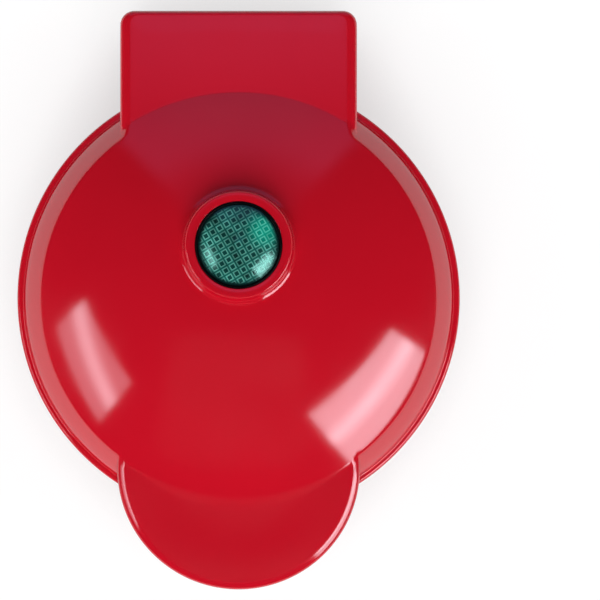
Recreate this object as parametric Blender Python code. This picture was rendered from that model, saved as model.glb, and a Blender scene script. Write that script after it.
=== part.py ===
"""A round countertop waffle maker.

Two moulded half shells meet at a level parting plane, and the lid turns on two steel
pins at the rear. Each half holds a die-cast plate with a grid of square studs, a tubular
heating element clamped to the back of the plate, and a heat reflector behind it. The lid
has a domed indicator lens in a raised collar.

Lengths are in metres and +Z is up. The handle points along -Y. The origin is on the
resting surface, under the centre of the round body. Heights named from the parting
plane grow away from it, up in the lid and down in the base.
"""

import math

import bmesh
import bpy
from mathutils import Matrix, Vector

# Fits and cuts
CLEARANCE = 0.0003
HINGE_CLEARANCE = 0.0004
OVERRUN = 0.003
MERGE_DISTANCE = 0.000001

# Round body
BODY_RADIUS = 0.0635
PARTING_HEIGHT = 0.036
RIM_GAP = 0.0004
RIM_HEIGHT = 0.004
RIM_EDGE = 0.0006
LEDGE_WIDTH = 0.0019
WALL = 0.0022
SHOULDER_INSET = 0.0065
SHOULDER_HEIGHT = 0.012
SHOULDER_SHARE = 0.65
SHOULDER_LIFT = 0.00005
DOME_RISE = 0.0155
FILLET_RUN = 0.003

# Handle, a half-round lip at the front
HANDLE_LENGTH = 0.0195
HANDLE_RADIUS = 0.034
HANDLE_EDGE = 0.0016
HANDLE_SLOPE_SHARE = 0.08
HANDLE_DEPTH = 0.0105

# Rear block
TAIL_LENGTH = 0.0183
TAIL_HALF_WIDTH = 0.0335
TAIL_CORNER = 0.004
TAIL_SIDE_ROLL = 0.003
TAIL_REAR_ROLL = 0.0015
TAIL_ROLL_DROP = 0.002
ROOT = 0.02

# Base bowl
FOOT_GAP = 0.0035
BASE_FLAT_RADIUS = 0.041
BOWL_SIDE_SHARE = 0.45
BOWL_FLOOR_SHARE = 0.65
BASE_EDGE = 0.002

# Hinge
KNUCKLE_RADIUS = 0.006
BARREL_RADIUS = 0.0055
BARREL_HALF = 0.0197
EAR_INSET = 0.00025
PIN_RADIUS = 0.002
PIN_INNER = 0.007
PIN_BORE_END = 0.0315
OPEN_ANGLE = 95
LEAD_SLOT_HALF = 0.0026
LEAD_SLOT_FLOOR = 0.0014

# Collar and indicator
LENS_OFFSET = 0.0147
COLLAR_TOP = 0.0313
COLLAR_RADIUS = 0.015
COLLAR_FOOT = 0.0026
COLLAR_EDGE = 0.0009
COLLAR_LIP = 0.002
COLLAR_BORE = 0.0133
COLLAR_FLARE_SHARE = 1.15
LENS_RING_RADIUS = 0.0123
LENS_RING_WALL = 0.0007
LENS_RING_PROUD = 0.0003
LENS_FLANGE = 0.0012
LENS_WALL = 0.0014
LENS_RISE = 0.0036
HOLDER_THICKNESS = 0.0015
HOLDER_TUBE = 0.0039
HOLDER_DROP = 0.0035
LAMP_RADIUS = 0.0025
LAMP_LENGTH = 0.009

# Cooking plates
PLATE_INSET = 0.0075
PLATE_FLANGE = 0.0025
PLATE_BACK_INSET = 0.0034
PLATE_CHAMFER = 0.0021
PLATE_FLOOR = 0.0027
TRAY_INSET = 0.0052
TRAY_DEPTH = 0.0075
TRAY_DRAFT = 0.0008
TRAY_EDGE = 0.0007
STUD_PITCH = 0.017
STUD_WIDTH = 0.0127
STUD_HEIGHT = 0.0051
STUD_DRAFT = 0.0007
STUD_FIELD_INSET = 0.0058
BOSS_RADIUS = 0.0032
BOSS_INSET = 0.01

# Frames that carry the plates and close the handle and rear block
COVER_THICKNESS = 0.0026
LIP_WIDTH = 0.0032
LIP_THICKNESS = 0.0015

# Heating
ELEMENT_RADIUS = 0.0028
ELEMENT_RING_SHARE = 0.5357
ELEMENT_OPEN_ANGLE = 28
ELEMENT_END_SIDE = 0.008
ELEMENT_TAIL = 0.0075
TERMINAL_RADIUS = 0.0011
TERMINAL_LENGTH = 0.006
CLAMP_THICKNESS = 0.001
CLAMP_WIDTH = 0.009
CLAMP_LENGTH = 0.017
CLAMP_TIP = 0.0035
REFLECTOR_EDGE = 0.0037
REFLECTOR_THICKNESS = 0.0006
THERMOSTAT_RADIUS = 0.0075
THERMOSTAT_CAP = 0.0055
FUSE_RADIUS = 0.0016
FUSE_HALF_LENGTH = 0.006
FUSE_CAP = 0.0012
FUSE_PLACE = 0.012

# Screws
SCREW_RADIUS = 0.001
SCREW_HEAD_RADIUS = 0.0022
SCREW_HEAD_THICKNESS = 0.0012
SCREW_RECESS = 0.0003
SCREW_LENGTH = 0.0065
CLAMP_SCREW_LENGTH = 0.0065
POST_RADIUS = 0.0032
BASE_POST_RADIUS = 0.0045
BASE_POST_TOP = 0.0055
BASE_POST_CROWN = 0.0022
FRONT_SCREW_SIDE = 0.02
REAR_SCREW_SIDE = 0.026

# Feet
FOOT_RADIUS = 0.005
FOOT_SEAT_DEPTH = 0.001
FOOT_EDGE = 0.0005
FRONT_FOOT_SIDE = 0.022
FRONT_FOOT_REACH = 0.026
REAR_FOOT_SIDE = 0.018
REAR_FOOT_INSET = 0.0118

# Wiring
GLAND_HEIGHT = 0.015
GLAND_RADIUS = 0.0045
GLAND_BORE = 0.0032
GLAND_FLANGE_RADIUS = 0.0062
GLAND_FLANGE = 0.0015
BLOCK_HALF_WIDTH = 0.01
BLOCK_LENGTH = 0.01
BLOCK_HEIGHT = 0.0095
BLOCK_HOLE_SIDE = 0.005
BLOCK_HOLE_RADIUS = 0.0014
BLOCK_GAP = 0.0118
LEAD_RADIUS = 0.0007
LEAD_SIDE = 0.0013
LID_LEAD_START_SHARES = [(0.06, 0.43, 0.33)]
LID_LEAD_SIDE_SHARES = [(0.24, 0, 0), (0.57, 0, 0)]
LID_LEAD_END_SHARES = [(1, 0.6, 0.78)]
HINGE_LEAD_SHARES = [(0.11, 0.51, 0.16), (0.68, 0.88, 0.58)]
ELEMENT_LEAD_SHARES = [(0.4, 0.36, 0.32), (0.87, 0.71, 0.83)]

# Facets of the round pieces
ROUND_STEPS = 48
INNER_STEPS = 32
LENS_STEPS = 24
SMALL_STEPS = 12
SCREW_STEPS = 8
HINGE_STEPS = 24
HANDLE_STEPS = 16
ELEMENT_STEPS = 16
CORNER_STEPS = 3
DOME_RINGS = 5
SMOOTH_ANGLE = 38

# Sizes that follow from those above
HALF_GAP = RIM_GAP / 2
SHOULDER_RADIUS = BODY_RADIUS - SHOULDER_INSET
HANDLE_REACH = BODY_RADIUS + HANDLE_LENGTH
TAIL_REACH = BODY_RADIUS + TAIL_LENGTH
PLATE_RADIUS = BODY_RADIUS - PLATE_INSET
PLATE_BACK_RADIUS = PLATE_RADIUS - PLATE_BACK_INSET
TRAY_RADIUS = PLATE_RADIUS - TRAY_INSET
STUD_FIELD_RADIUS = TRAY_RADIUS - STUD_FIELD_INSET
ELEMENT_RING = PLATE_RADIUS * ELEMENT_RING_SHARE
ELEMENT_END_REACH = ELEMENT_RING + ELEMENT_TAIL
BOSS_PLACE = ELEMENT_RING - BOSS_INSET
CLAMP_END = ELEMENT_RING + CLAMP_TIP
CLAMP_START = CLAMP_END - CLAMP_LENGTH
REFLECTOR_RADIUS = ELEMENT_RING + ELEMENT_RADIUS + REFLECTOR_EDGE
INNER_RADIUS = BODY_RADIUS - WALL
DOME_RADIUS = (SHOULDER_RADIUS**2 + DOME_RISE**2) / (2 * DOME_RISE)
DOME_EDGE_ANGLE = math.asin(SHOULDER_RADIUS / DOME_RADIUS)
DOME_EDGE_SLOPE = math.tan(DOME_EDGE_ANGLE)
DOME_TOP = SHOULDER_HEIGHT + DOME_RISE
CREASE_RADIUS = SHOULDER_RADIUS + FILLET_RUN / 2
CREASE_HEIGHT = SHOULDER_HEIGHT - DOME_EDGE_SLOPE * FILLET_RUN / 2
BLANK_TOP = COLLAR_TOP + OVERRUN
BLANK_RADIUS = max(math.hypot(TAIL_HALF_WIDTH, TAIL_REACH), HANDLE_REACH) + OVERRUN
HANDLE_CENTRE = HANDLE_REACH - HANDLE_RADIUS
BASE_DEPTH = PARTING_HEIGHT - FOOT_GAP
HINGE_Y = TAIL_REACH - KNUCKLE_RADIUS
RELIEF_RADIUS = KNUCKLE_RADIUS + HINGE_CLEARANCE
NOTCH_RADIUS = BARREL_RADIUS + HINGE_CLEARANCE
EAR_INNER = BARREL_HALF + CLEARANCE
PIN_BORE = PIN_RADIUS + CLEARANCE
SCREW_BORE = SCREW_RADIUS + CLEARANCE
SCREW_WELL = SCREW_HEAD_RADIUS + CLEARANCE
SOLID_FRONT = HINGE_Y - RELIEF_RADIUS - WALL
COVER_BACK = HALF_GAP + COVER_THICKNESS
LEAD_PASS = COVER_BACK + 2 * CLEARANCE + LEAD_RADIUS
LEAD_SLOT_TOP = LEAD_PASS + LEAD_RADIUS + 2 * CLEARANCE
FRAME_REAR = SOLID_FRONT - CLEARANCE
PLATE_FRONT_EDGE = math.sqrt(PLATE_RADIUS**2 - FRONT_SCREW_SIDE**2)
PLATE_REAR_EDGE = math.sqrt(PLATE_RADIUS**2 - REAR_SCREW_SIDE**2)
HANDLE_FRONT_EDGE = HANDLE_CENTRE + math.sqrt(HANDLE_RADIUS**2 - FRONT_SCREW_SIDE**2)
FRONT_SCREW_REACH = (PLATE_FRONT_EDGE + HANDLE_FRONT_EDGE) / 2
REAR_SCREW_REACH = (PLATE_REAR_EDGE + FRAME_REAR) / 2
REAR_FOOT_REACH = TAIL_REACH - REAR_FOOT_INSET
BLOCK_REAR = TAIL_REACH - WALL - CLEARANCE - GLAND_FLANGE - BLOCK_GAP
BLOCK_FRONT = BLOCK_REAR - BLOCK_LENGTH
TRAY_FLOOR = HALF_GAP + TRAY_DEPTH
PLATE_BACK = TRAY_FLOOR + PLATE_FLOOR
ELEMENT_PLACE = PLATE_BACK + CLEARANCE + ELEMENT_RADIUS
ELEMENT_BACK = ELEMENT_PLACE + ELEMENT_RADIUS
CLAMP_FACE = ELEMENT_BACK + CLEARANCE
CLAMP_BACK = CLAMP_FACE + CLAMP_THICKNESS
REFLECTOR_FACE = CLAMP_BACK + CLEARANCE
REFLECTOR_BACK = REFLECTOR_FACE + REFLECTOR_THICKNESS
COLLAR_SPAN = LENS_OFFSET + COLLAR_RADIUS + COLLAR_FOOT * COLLAR_FLARE_SHARE
COLLAR_ROOT = DOME_TOP - DOME_RADIUS + math.sqrt(DOME_RADIUS**2 - COLLAR_SPAN**2) - WALL / 2
LENS_RADIUS = LENS_RING_RADIUS - LENS_RING_WALL - CLEARANCE
LENS_SEAT = COLLAR_TOP - COLLAR_LIP - CLEARANCE - LENS_FLANGE
LENS_EDGE = COLLAR_TOP + LENS_RING_PROUD - CLEARANCE
HOLDER_FACE = LENS_SEAT - CLEARANCE
HOLDER_RADIUS = COLLAR_BORE - CLEARANCE
SCREW_PLACES = [
    ("front_left", -FRONT_SCREW_SIDE, -FRONT_SCREW_REACH),
    ("front_right", FRONT_SCREW_SIDE, -FRONT_SCREW_REACH),
    ("rear_left", -REAR_SCREW_SIDE, REAR_SCREW_REACH),
    ("rear_right", REAR_SCREW_SIDE, REAR_SCREW_REACH),
]
FOOT_PLACES = [
    ("front_left", -FRONT_FOOT_SIDE, -FRONT_FOOT_REACH),
    ("front_right", FRONT_FOOT_SIDE, -FRONT_FOOT_REACH),
    ("rear_left", -REAR_FOOT_SIDE, REAR_FOOT_REACH),
    ("rear_right", REAR_FOOT_SIDE, REAR_FOOT_REACH),
]
SIDES = [("left", -1), ("right", 1)]


# Materials

def material(name, colour, roughness, metallic=0.0, alpha=1.0):
    """Return a plain surface of one colour."""
    made = bpy.data.materials.new(name)
    made.use_nodes = True
    shader = made.node_tree.nodes["Principled BSDF"]
    shader.inputs["Base Color"].default_value = (*colour, 1.0)
    shader.inputs["Roughness"].default_value = roughness
    shader.inputs["Metallic"].default_value = metallic
    shader.inputs["Alpha"].default_value = alpha
    return made


def make_materials():
    """Return the surfaces by name."""
    return {
        "red_plastic": material("red_plastic", (0.53, 0.007, 0.017), 0.12),
        "frame_plastic": material("frame_plastic", (0.42, 0.006, 0.014), 0.35),
        "plate_coating": material("plate_coating", (0.02, 0.02, 0.022), 0.45, 0.2),
        "steel": material("steel", (0.55, 0.55, 0.56), 0.3, 1.0),
        "aluminised_steel": material("aluminised_steel", (0.7, 0.7, 0.7), 0.35, 1.0),
        "element_sheath": material("element_sheath", (0.16, 0.15, 0.14), 0.5, 0.8),
        "green_lens": material("green_lens", (0.012, 0.13, 0.09), 0.06, 0.0, 0.6),
        "black_rubber": material("black_rubber", (0.015, 0.015, 0.015), 0.7),
        "white_ceramic": material("white_ceramic", (0.8, 0.79, 0.75), 0.5),
        "dark_plastic": material("dark_plastic", (0.03, 0.03, 0.03), 0.4),
        "lamp_glass": material("lamp_glass", (0.8, 0.75, 0.6), 0.05, 0.0, 0.5),
        "lead_sleeve": material("lead_sleeve", (0.75, 0.74, 0.7), 0.8),
    }


# Solids

def new_object(name, mesh, surface=None):
    """Put a mesh in the scene as a named object."""
    made = bpy.data.objects.new(name, mesh)
    bpy.context.scene.collection.objects.link(made)
    if surface:
        made.data.materials.append(surface)
    return made


def object_from(name, built, surface=None):
    """Make an object of a finished bmesh, with its faces pointing out."""
    bmesh.ops.recalc_face_normals(built, faces=built.faces)
    mesh = bpy.data.meshes.new(name)
    built.to_mesh(mesh)
    built.free()
    return new_object(name, mesh, surface)


def turned(name, profile, steps, surface=None, centre=(0, 0)):
    """Turn a profile of (radius, height) points about a vertical axis."""
    built = bmesh.new()
    points = [built.verts.new((radius, 0, height)) for radius, height in profile]
    edges = [built.edges.new(pair) for pair in zip(points, points[1:])]
    if profile[0][0] > 0 or profile[-1][0] > 0:
        edges.append(built.edges.new((points[-1], points[0])))
    bmesh.ops.spin(
        built,
        geom=points + edges,
        cent=(0, 0, 0),
        axis=(0, 0, 1),
        angle=math.tau,
        steps=steps,
        use_merge=True,
    )
    bmesh.ops.remove_doubles(built, verts=built.verts, dist=MERGE_DISTANCE)
    bmesh.ops.translate(built, verts=built.verts, vec=(*centre, 0))
    return object_from(name, built, surface)


def lofted(name, rings, surface=None, peak=None):
    """Join rings of equally many points, and close both ends."""
    built = bmesh.new()
    loops = [[built.verts.new(point) for point in ring] for ring in rings]
    for lower, upper in zip(loops, loops[1:]):
        for here in range(len(lower)):
            there = (here + 1) % len(lower)
            built.faces.new((lower[here], lower[there], upper[there], upper[here]))
    built.faces.new(loops[0])
    if peak is None:
        built.faces.new(loops[-1])
    else:
        top = built.verts.new(peak)
        for here in range(len(loops[-1])):
            there = (here + 1) % len(loops[-1])
            built.faces.new((loops[-1][here], loops[-1][there], top))
    return object_from(name, built, surface)


def prism(name, outline, start, end, surface=None):
    """Extrude a plan outline between two heights."""
    rings = [[(x, y, height) for x, y in outline] for height in (start, end)]
    return lofted(name, rings, surface)


def box(name, low, high, surface=None):
    """Make a box between two corners."""
    outline = [(low[0], low[1]), (high[0], low[1]), (high[0], high[1]), (low[0], high[1])]
    return prism(name, outline, low[2], high[2], surface)


def across(name, section, start, end, surface=None):
    """Extrude a section of (y, z) points along X."""
    rings = [[(x, y, z) for y, z in section] for x in (start, end)]
    return lofted(name, rings, surface)


def cylinder(name, radius, start, end, steps, centre=(0, 0), surface=None):
    """Make an upright cylinder between two heights."""
    return turned(name, [(0, start), (radius, start), (radius, end), (0, end)], steps, surface, centre)


def circle_points(radius, first, last, steps, centre=(0, 0)):
    """Return points along an arc, both ends included, with angles in degrees."""
    points = []
    for step in range(steps + 1):
        angle = math.radians(first + (last - first) * step / steps)
        points.append((centre[0] + radius * math.cos(angle), centre[1] + radius * math.sin(angle)))
    return points


def rod_section(radius, steps=SMALL_STEPS):
    """Return a round section about the hinge axis."""
    return circle_points(radius, 0, 360, steps, (HINGE_Y, 0))[:-1]


def bezier(start, control, end, steps):
    """Return points on a curve with one control point, both ends included."""
    points = []
    for step in range(steps + 1):
        t = step / steps
        blend = ((1 - t) ** 2, 2 * t * (1 - t), t**2)
        points.append(tuple(sum(b * p[i] for b, p in zip(blend, (start, control, end))) for i in range(2)))
    return points


def combine(target, operation, others):
    """Join, cut or keep the shared part of solids, and remove the solids used for it.

    The EXACT solver loses side faces of the small bores here, so all use MANIFOLD.
    """
    for other in others:
        modifier = target.modifiers.new(operation, "BOOLEAN")
        modifier.operation = operation
        modifier.solver = "MANIFOLD"
        modifier.object = other
    bpy.context.view_layer.update()
    evaluated = target.evaluated_get(bpy.context.evaluated_depsgraph_get())
    mesh = bpy.data.meshes.new_from_object(evaluated)
    mesh.name = target.name
    target.modifiers.clear()
    plain = target.data
    target.data = mesh
    bpy.data.meshes.remove(plain)
    for other in others:
        bpy.data.objects.remove(other)
    return target


def flip(target):
    """Turn a solid modelled upwards from the parting plane over, for the base."""
    target.data.transform(Matrix.Diagonal((1, 1, -1, 1)))
    target.data.flip_normals()
    return target


def place(target, half, carrier=None):
    """Move a solid from the parting plane's heights to its half, and parent it."""
    if half == "base":
        flip(target)
    target.data.transform(Matrix.Translation((0, 0, PARTING_HEIGHT)))
    return carry(target, carrier)


def carry(target, carrier):
    """Parent a piece without moving it."""
    if carrier:
        target.parent = carrier
        target.matrix_parent_inverse = carrier.matrix_world.inverted()
    if target.type == "MESH":
        target.data.shade_smooth()
        target.data.set_sharp_from_angle(angle=math.radians(SMOOTH_ANGLE))
    return target


# Outlines and heights of the body

def dome_height(x, y):
    """Return the height of the dome above the parting plane."""
    return DOME_TOP - DOME_RADIUS + math.sqrt(DOME_RADIUS**2 - x**2 - y**2)


def slope_at(x, y):
    """Return the fall of the flat top, which only the handle has."""
    return HANDLE_SLOPE_SHARE * max(0, -y / math.hypot(x, y))


def flat_height(x, y):
    """Return the height of the top of the handle and of the rear block."""
    return CREASE_HEIGHT - slope_at(x, y) * (math.hypot(x, y) - CREASE_RADIUS)


def handle_outline(inset):
    """Return the handle's plan, a half round with straight sides into the body."""
    radius = HANDLE_RADIUS - inset
    arc = circle_points(radius, 180, 360, HANDLE_STEPS, (0, -HANDLE_CENTRE))
    return [(-radius, -ROOT), *arc, (radius, -ROOT)]


def tail_outline(side_inset, rear_inset, rear=TAIL_REACH):
    """Return the rear block's plan, with rounded rear corners."""
    half = TAIL_HALF_WIDTH - side_inset
    back = rear - rear_inset
    corner = TAIL_CORNER - rear_inset
    right = circle_points(corner, 0, 90, CORNER_STEPS, (half - corner, back - corner))
    left = circle_points(corner, 90, 180, CORNER_STEPS, (corner - half, back - corner))
    return [(half, ROOT), *right, *left, (-half, ROOT)]


def shoulder_points(steps):
    """Return the lid's rounded shoulder, from the ledge up to the dome."""
    foot = (BODY_RADIUS - LEDGE_WIDTH, RIM_HEIGHT)
    reach = SHOULDER_SHARE * (foot[0] - SHOULDER_RADIUS)
    control = (SHOULDER_RADIUS + reach, SHOULDER_HEIGHT - DOME_EDGE_SLOPE * reach)
    top = (SHOULDER_RADIUS, SHOULDER_HEIGHT + SHOULDER_LIFT)
    return bezier(foot, control, top, steps)


def rim_points():
    """Return the rim from the parting plane to the ledge, with its edge rounded."""
    return [
        (BODY_RADIUS, HALF_GAP),
        (BODY_RADIUS, RIM_HEIGHT - RIM_EDGE),
        *circle_points(RIM_EDGE, 0, 90, 2, (BODY_RADIUS - RIM_EDGE, RIM_HEIGHT - RIM_EDGE))[1:],
    ]


# Lid shell

def roof(name, drop, start, dome_rings, fillet_steps, steps):
    """Make the blank under the dome and the flat tops, lowered by the given drop."""
    directions = [(math.cos(math.tau * s / steps), math.sin(math.tau * s / steps)) for s in range(steps)]
    rings = [[(BLANK_RADIUS * c, BLANK_RADIUS * s, start) for c, s in directions]]
    rings.append([])
    for c, s in directions:
        x, y = BLANK_RADIUS * c, BLANK_RADIUS * s
        rings[-1].append((x, y, flat_height(x, y) - drop))
    dome_edge = (SHOULDER_RADIUS, SHOULDER_HEIGHT)
    crease = (CREASE_RADIUS, CREASE_HEIGHT)
    outer = SHOULDER_RADIUS + FILLET_RUN
    for step in range(fillet_steps, -1, -1):
        ring = []
        for c, s in directions:
            end = (outer, flat_height(outer * c, outer * s))
            radius, height = bezier(dome_edge, crease, end, fillet_steps)[step]
            ring.append((radius * c, radius * s, height - drop))
        rings.append(ring)
    for step in range(dome_rings - 1, 0, -1):
        radius = DOME_RADIUS * math.sin(DOME_EDGE_ANGLE * step / dome_rings)
        rings.append([(radius * c, radius * s, dome_height(radius, 0) - drop) for c, s in directions])
    return lofted(name, rings, peak=(0, 0, DOME_TOP - drop))


def edged_top(name, outline, edge, drop):
    """Make a blank with a rolled upper edge that follows the flat top, and runs on above it."""
    plain = outline(0)
    rings = [[(x, y, HALF_GAP) for x, y in plain]]
    for angle in (0, 24, 48, 72):
        inset = edge * (1 - math.cos(math.radians(angle)))
        fall = drop * (1 - math.sin(math.radians(angle)))
        rings.append([(x, y, flat_height(*p) - fall) for (x, y), p in zip(outline(inset), plain)])
    inner = outline(edge + edge / 2)
    rings.append([(x, y, flat_height(*p) + drop / 3) for (x, y), p in zip(inner, plain)])
    rings.append([(x, y, BLANK_TOP) for x, y in inner])
    return lofted(name, rings)


def tail_blank():
    """Make the lid's rear block, rolled more at its sides than at its rear edge."""
    ratio = TAIL_REAR_ROLL / TAIL_SIDE_ROLL
    return edged_top("tail", lambda inset: tail_outline(inset, inset * ratio), TAIL_SIDE_ROLL, TAIL_ROLL_DROP)


def drum(name, outer, shoulder, start, steps):
    """Make the round body's blank: rim, ledge and shoulder, run on upwards."""
    top = (shoulder[-1][0], BLANK_TOP)
    profile = [(0, start), (outer[0][0], start), *outer[1:], *shoulder, top, (0, BLANK_TOP)]
    return turned(name, profile, steps)


def inner_shoulder():
    """Return the inside of the lid's shoulder, one wall in from the outside."""
    return [(radius - WALL, height - WALL) for radius, height in shoulder_points(2)]


def inside_radius(height):
    """Return the radius inside the lid's shoulder at a height."""
    points = inner_shoulder()
    for lower, upper in zip(points, points[1:]):
        if lower[1] <= height <= upper[1]:
            share = (height - lower[1]) / (upper[1] - lower[1])
            return lower[0] + share * (upper[0] - lower[0])
    return points[-1][0]


def lid_hollow():
    """Make the solid that hollows the lid shell, one wall inside it."""
    start = HALF_GAP - OVERRUN
    step_height = RIM_HEIGHT - WALL
    rim = [(INNER_RADIUS, start), (INNER_RADIUS, step_height)]
    blank = drum("hollow", rim, inner_shoulder(), start, INNER_STEPS)
    handle = prism("handle_hollow", handle_outline(WALL), start, BLANK_TOP)
    half = TAIL_HALF_WIDTH - WALL
    tail = box("tail_hollow", (-half, ROOT, start), (half, SOLID_FRONT, BLANK_TOP))
    combine(blank, "UNION", [handle, tail])
    inside = roof("roof_hollow", WALL, start - OVERRUN, DOME_RINGS - 1, 1, INNER_STEPS)
    return combine(blank, "INTERSECT", [inside])


def collar_blank():
    """Make the lens collar, flared where it grows out of the dome."""
    flare_shares = [(COLLAR_FLARE_SHARE, -0.25), (1.0, 0.0), (0.5, 0.2), (0.0, 0.9)]
    rings = [[(x, y, COLLAR_ROOT) for x, y in collar_ring(COLLAR_RADIUS)]]
    for out_share, up_share in flare_shares:
        ring = collar_ring(COLLAR_RADIUS + COLLAR_FOOT * out_share)
        rings.append([(x, y, dome_height(x, y) + COLLAR_FOOT * up_share) for x, y in ring])
    for angle in (0, 45, 90):
        inset = COLLAR_EDGE * (1 - math.cos(math.radians(angle)))
        fall = COLLAR_EDGE * (1 - math.sin(math.radians(angle)))
        rings.append([(x, y, COLLAR_TOP - fall) for x, y in collar_ring(COLLAR_RADIUS - inset)])
    return lofted("collar", rings)


def collar_ring(radius):
    """Return a ring of points round the lens axis."""
    return circle_points(radius, 0, 360, LENS_STEPS, (0, LENS_OFFSET))[:-1]


def collar_bore():
    """Make the stepped bore for the lens ring, the lens and the lamp holder."""
    hole = LENS_RING_RADIUS + CLEARANCE
    step = COLLAR_TOP - COLLAR_LIP
    profile = [
        (0, COLLAR_ROOT - OVERRUN),
        (COLLAR_BORE, COLLAR_ROOT - OVERRUN),
        (COLLAR_BORE, step),
        (hole, step),
        (hole, BLANK_TOP),
        (0, BLANK_TOP),
    ]
    return turned("collar_bore", profile, LENS_STEPS, centre=(0, LENS_OFFSET))


def ears():
    """Make the two hinge knuckles of the lid, trimmed to the rear block's plan."""
    reach = TAIL_HALF_WIDTH + OVERRUN
    section = rod_section(KNUCKLE_RADIUS, HINGE_STEPS)
    knuckles = []
    for name, side in SIDES:
        knuckle = across("knuckle_" + name, section, side * EAR_INNER, side * reach)
        plan = prism("plan", tail_outline(EAR_INSET, EAR_INSET), -KNUCKLE_RADIUS - OVERRUN, SHOULDER_HEIGHT)
        knuckles.append(combine(knuckle, "INTERSECT", [plan]))
    return knuckles


def lid_notch():
    """Make the cut in the lid that clears the base's barrel, open at the rear."""
    back = TAIL_REACH + OVERRUN
    below = -KNUCKLE_RADIUS - OVERRUN
    arc = circle_points(NOTCH_RADIUS, 180, 90, 8, (HINGE_Y, 0))
    section = [(HINGE_Y - NOTCH_RADIUS, below), *arc, (back, NOTCH_RADIUS), (back, below)]
    return across("notch", section, -EAR_INNER, EAR_INNER)


def pin_bores():
    """Make the bores for both hinge pins."""
    bores = []
    for name, side in SIDES:
        bores.append(across("bore_" + name, rod_section(PIN_BORE), side * PIN_INNER, side * PIN_BORE_END))
    return bores


def lid_posts(shell):
    """Add the screw posts under the flat tops, and drill them."""
    foot = COVER_BACK + CLEARANCE
    for name, x, y in SCREW_PLACES:
        top = flat_height(x, y) - WALL / 2
        combine(shell, "UNION", [cylinder("post", POST_RADIUS, foot, top, SCREW_STEPS, (x, y))])
    holes = []
    for name, x, y in SCREW_PLACES:
        end = flat_height(x, y) - WALL
        holes.append(cylinder("hole", SCREW_BORE, foot - OVERRUN, end, SCREW_STEPS, (x, y)))
    return combine(shell, "DIFFERENCE", holes)


def lid_shell(surface, carrier):
    """Mould the lid: dome, shoulder, ledge, handle, rear block, collar and hinge ears."""
    shoulder = shoulder_points(4)
    shell = drum("lid_shell", rim_points(), shoulder, HALF_GAP, ROUND_STEPS)
    shell.data.materials.append(surface)
    handle = edged_top("handle", handle_outline, HANDLE_EDGE, HANDLE_EDGE)
    combine(shell, "UNION", [handle, tail_blank()])
    top = roof("roof", 0, HALF_GAP - OVERRUN, DOME_RINGS, 3, ROUND_STEPS)
    combine(shell, "INTERSECT", [top])
    combine(shell, "DIFFERENCE", [lid_hollow()])
    combine(shell, "UNION", [collar_blank(), *ears()])
    lid_posts(shell)
    slot_front = SOLID_FRONT - OVERRUN
    slot = box(
        "lead_slot",
        (-LEAD_SLOT_HALF, slot_front, HALF_GAP - OVERRUN),
        (LEAD_SLOT_HALF, HINGE_Y, LEAD_SLOT_TOP),
    )
    combine(shell, "DIFFERENCE", [collar_bore(), lid_notch(), slot, *pin_bores()])
    return place(shell, "lid", carrier)


# Base shell, modelled downwards from the parting plane

def bowl_points(inset, steps):
    """Return the bowl's side, from the ledge down to the flat underside."""
    start = (BODY_RADIUS - LEDGE_WIDTH, RIM_HEIGHT)
    end = (BASE_FLAT_RADIUS, BASE_DEPTH)
    side = (start[0], start[1] + BOWL_SIDE_SHARE * (end[1] - start[1]))
    floor = (end[0] + BOWL_FLOOR_SHARE * (start[0] - end[0]), end[1])
    points = []
    for step in range(steps + 1):
        t = step / steps
        blend = ((1 - t) ** 3, 3 * t * (1 - t) ** 2, 3 * t**2 * (1 - t), t**3)
        radius, height = (sum(b * p[i] for b, p in zip(blend, (start, side, floor, end))) for i in range(2))
        points.append((radius - inset, height - inset))
    return points


def base_block(name, outline, depth, edge):
    """Make the base's handle or rear block, with a rounded lower edge."""
    rings = [[(x, y, HALF_GAP) for x, y in outline(0)]]
    for angle in (0, 30, 60, 90):
        inset = edge * (1 - math.cos(math.radians(angle)))
        height = depth - edge * (1 - math.sin(math.radians(angle)))
        rings.append([(x, y, height) for x, y in outline(inset)])
    return lofted(name, rings)


def base_hollow():
    """Make the solid that hollows the base shell, one wall inside it."""
    start = HALF_GAP - OVERRUN
    step_height = RIM_HEIGHT - WALL
    rim = [(0, start), (INNER_RADIUS, start), (INNER_RADIUS, step_height)]
    profile = [*rim, *bowl_points(WALL, 4), (0, BASE_DEPTH - WALL)]
    blank = turned("hollow", profile, INNER_STEPS)
    handle = prism("handle_hollow", handle_outline(WALL), start, HANDLE_DEPTH - WALL)
    half = TAIL_HALF_WIDTH - WALL
    floor = BASE_DEPTH - WALL
    tail = box("tail_hollow", (-half, ROOT, start), (half, SOLID_FRONT, floor))
    low = (-half, ROOT + OVERRUN, trough_depth() + WALL)
    rear = box("rear_hollow", low, (half, TAIL_REACH - WALL, floor - CLEARANCE))
    return combine(blank, "UNION", [handle, tail, rear])


def trough_depth():
    """Return how far the ears' trough reaches below the parting plane at the rear face."""
    angle = math.radians(OPEN_ANGLE)
    run = (KNUCKLE_RADIUS - RELIEF_RADIUS * math.cos(angle)) / math.sin(angle)
    return RELIEF_RADIUS * math.sin(angle) - run * math.cos(angle)


def opened(y, z):
    """Return where a lid point, measured from the hinge axis, is when the lid is open."""
    angle = math.radians(OPEN_ANGLE)
    return (
        HINGE_Y + y * math.cos(angle) + z * math.sin(angle),
        -(z * math.cos(angle) - y * math.sin(angle)),
    )


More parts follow.
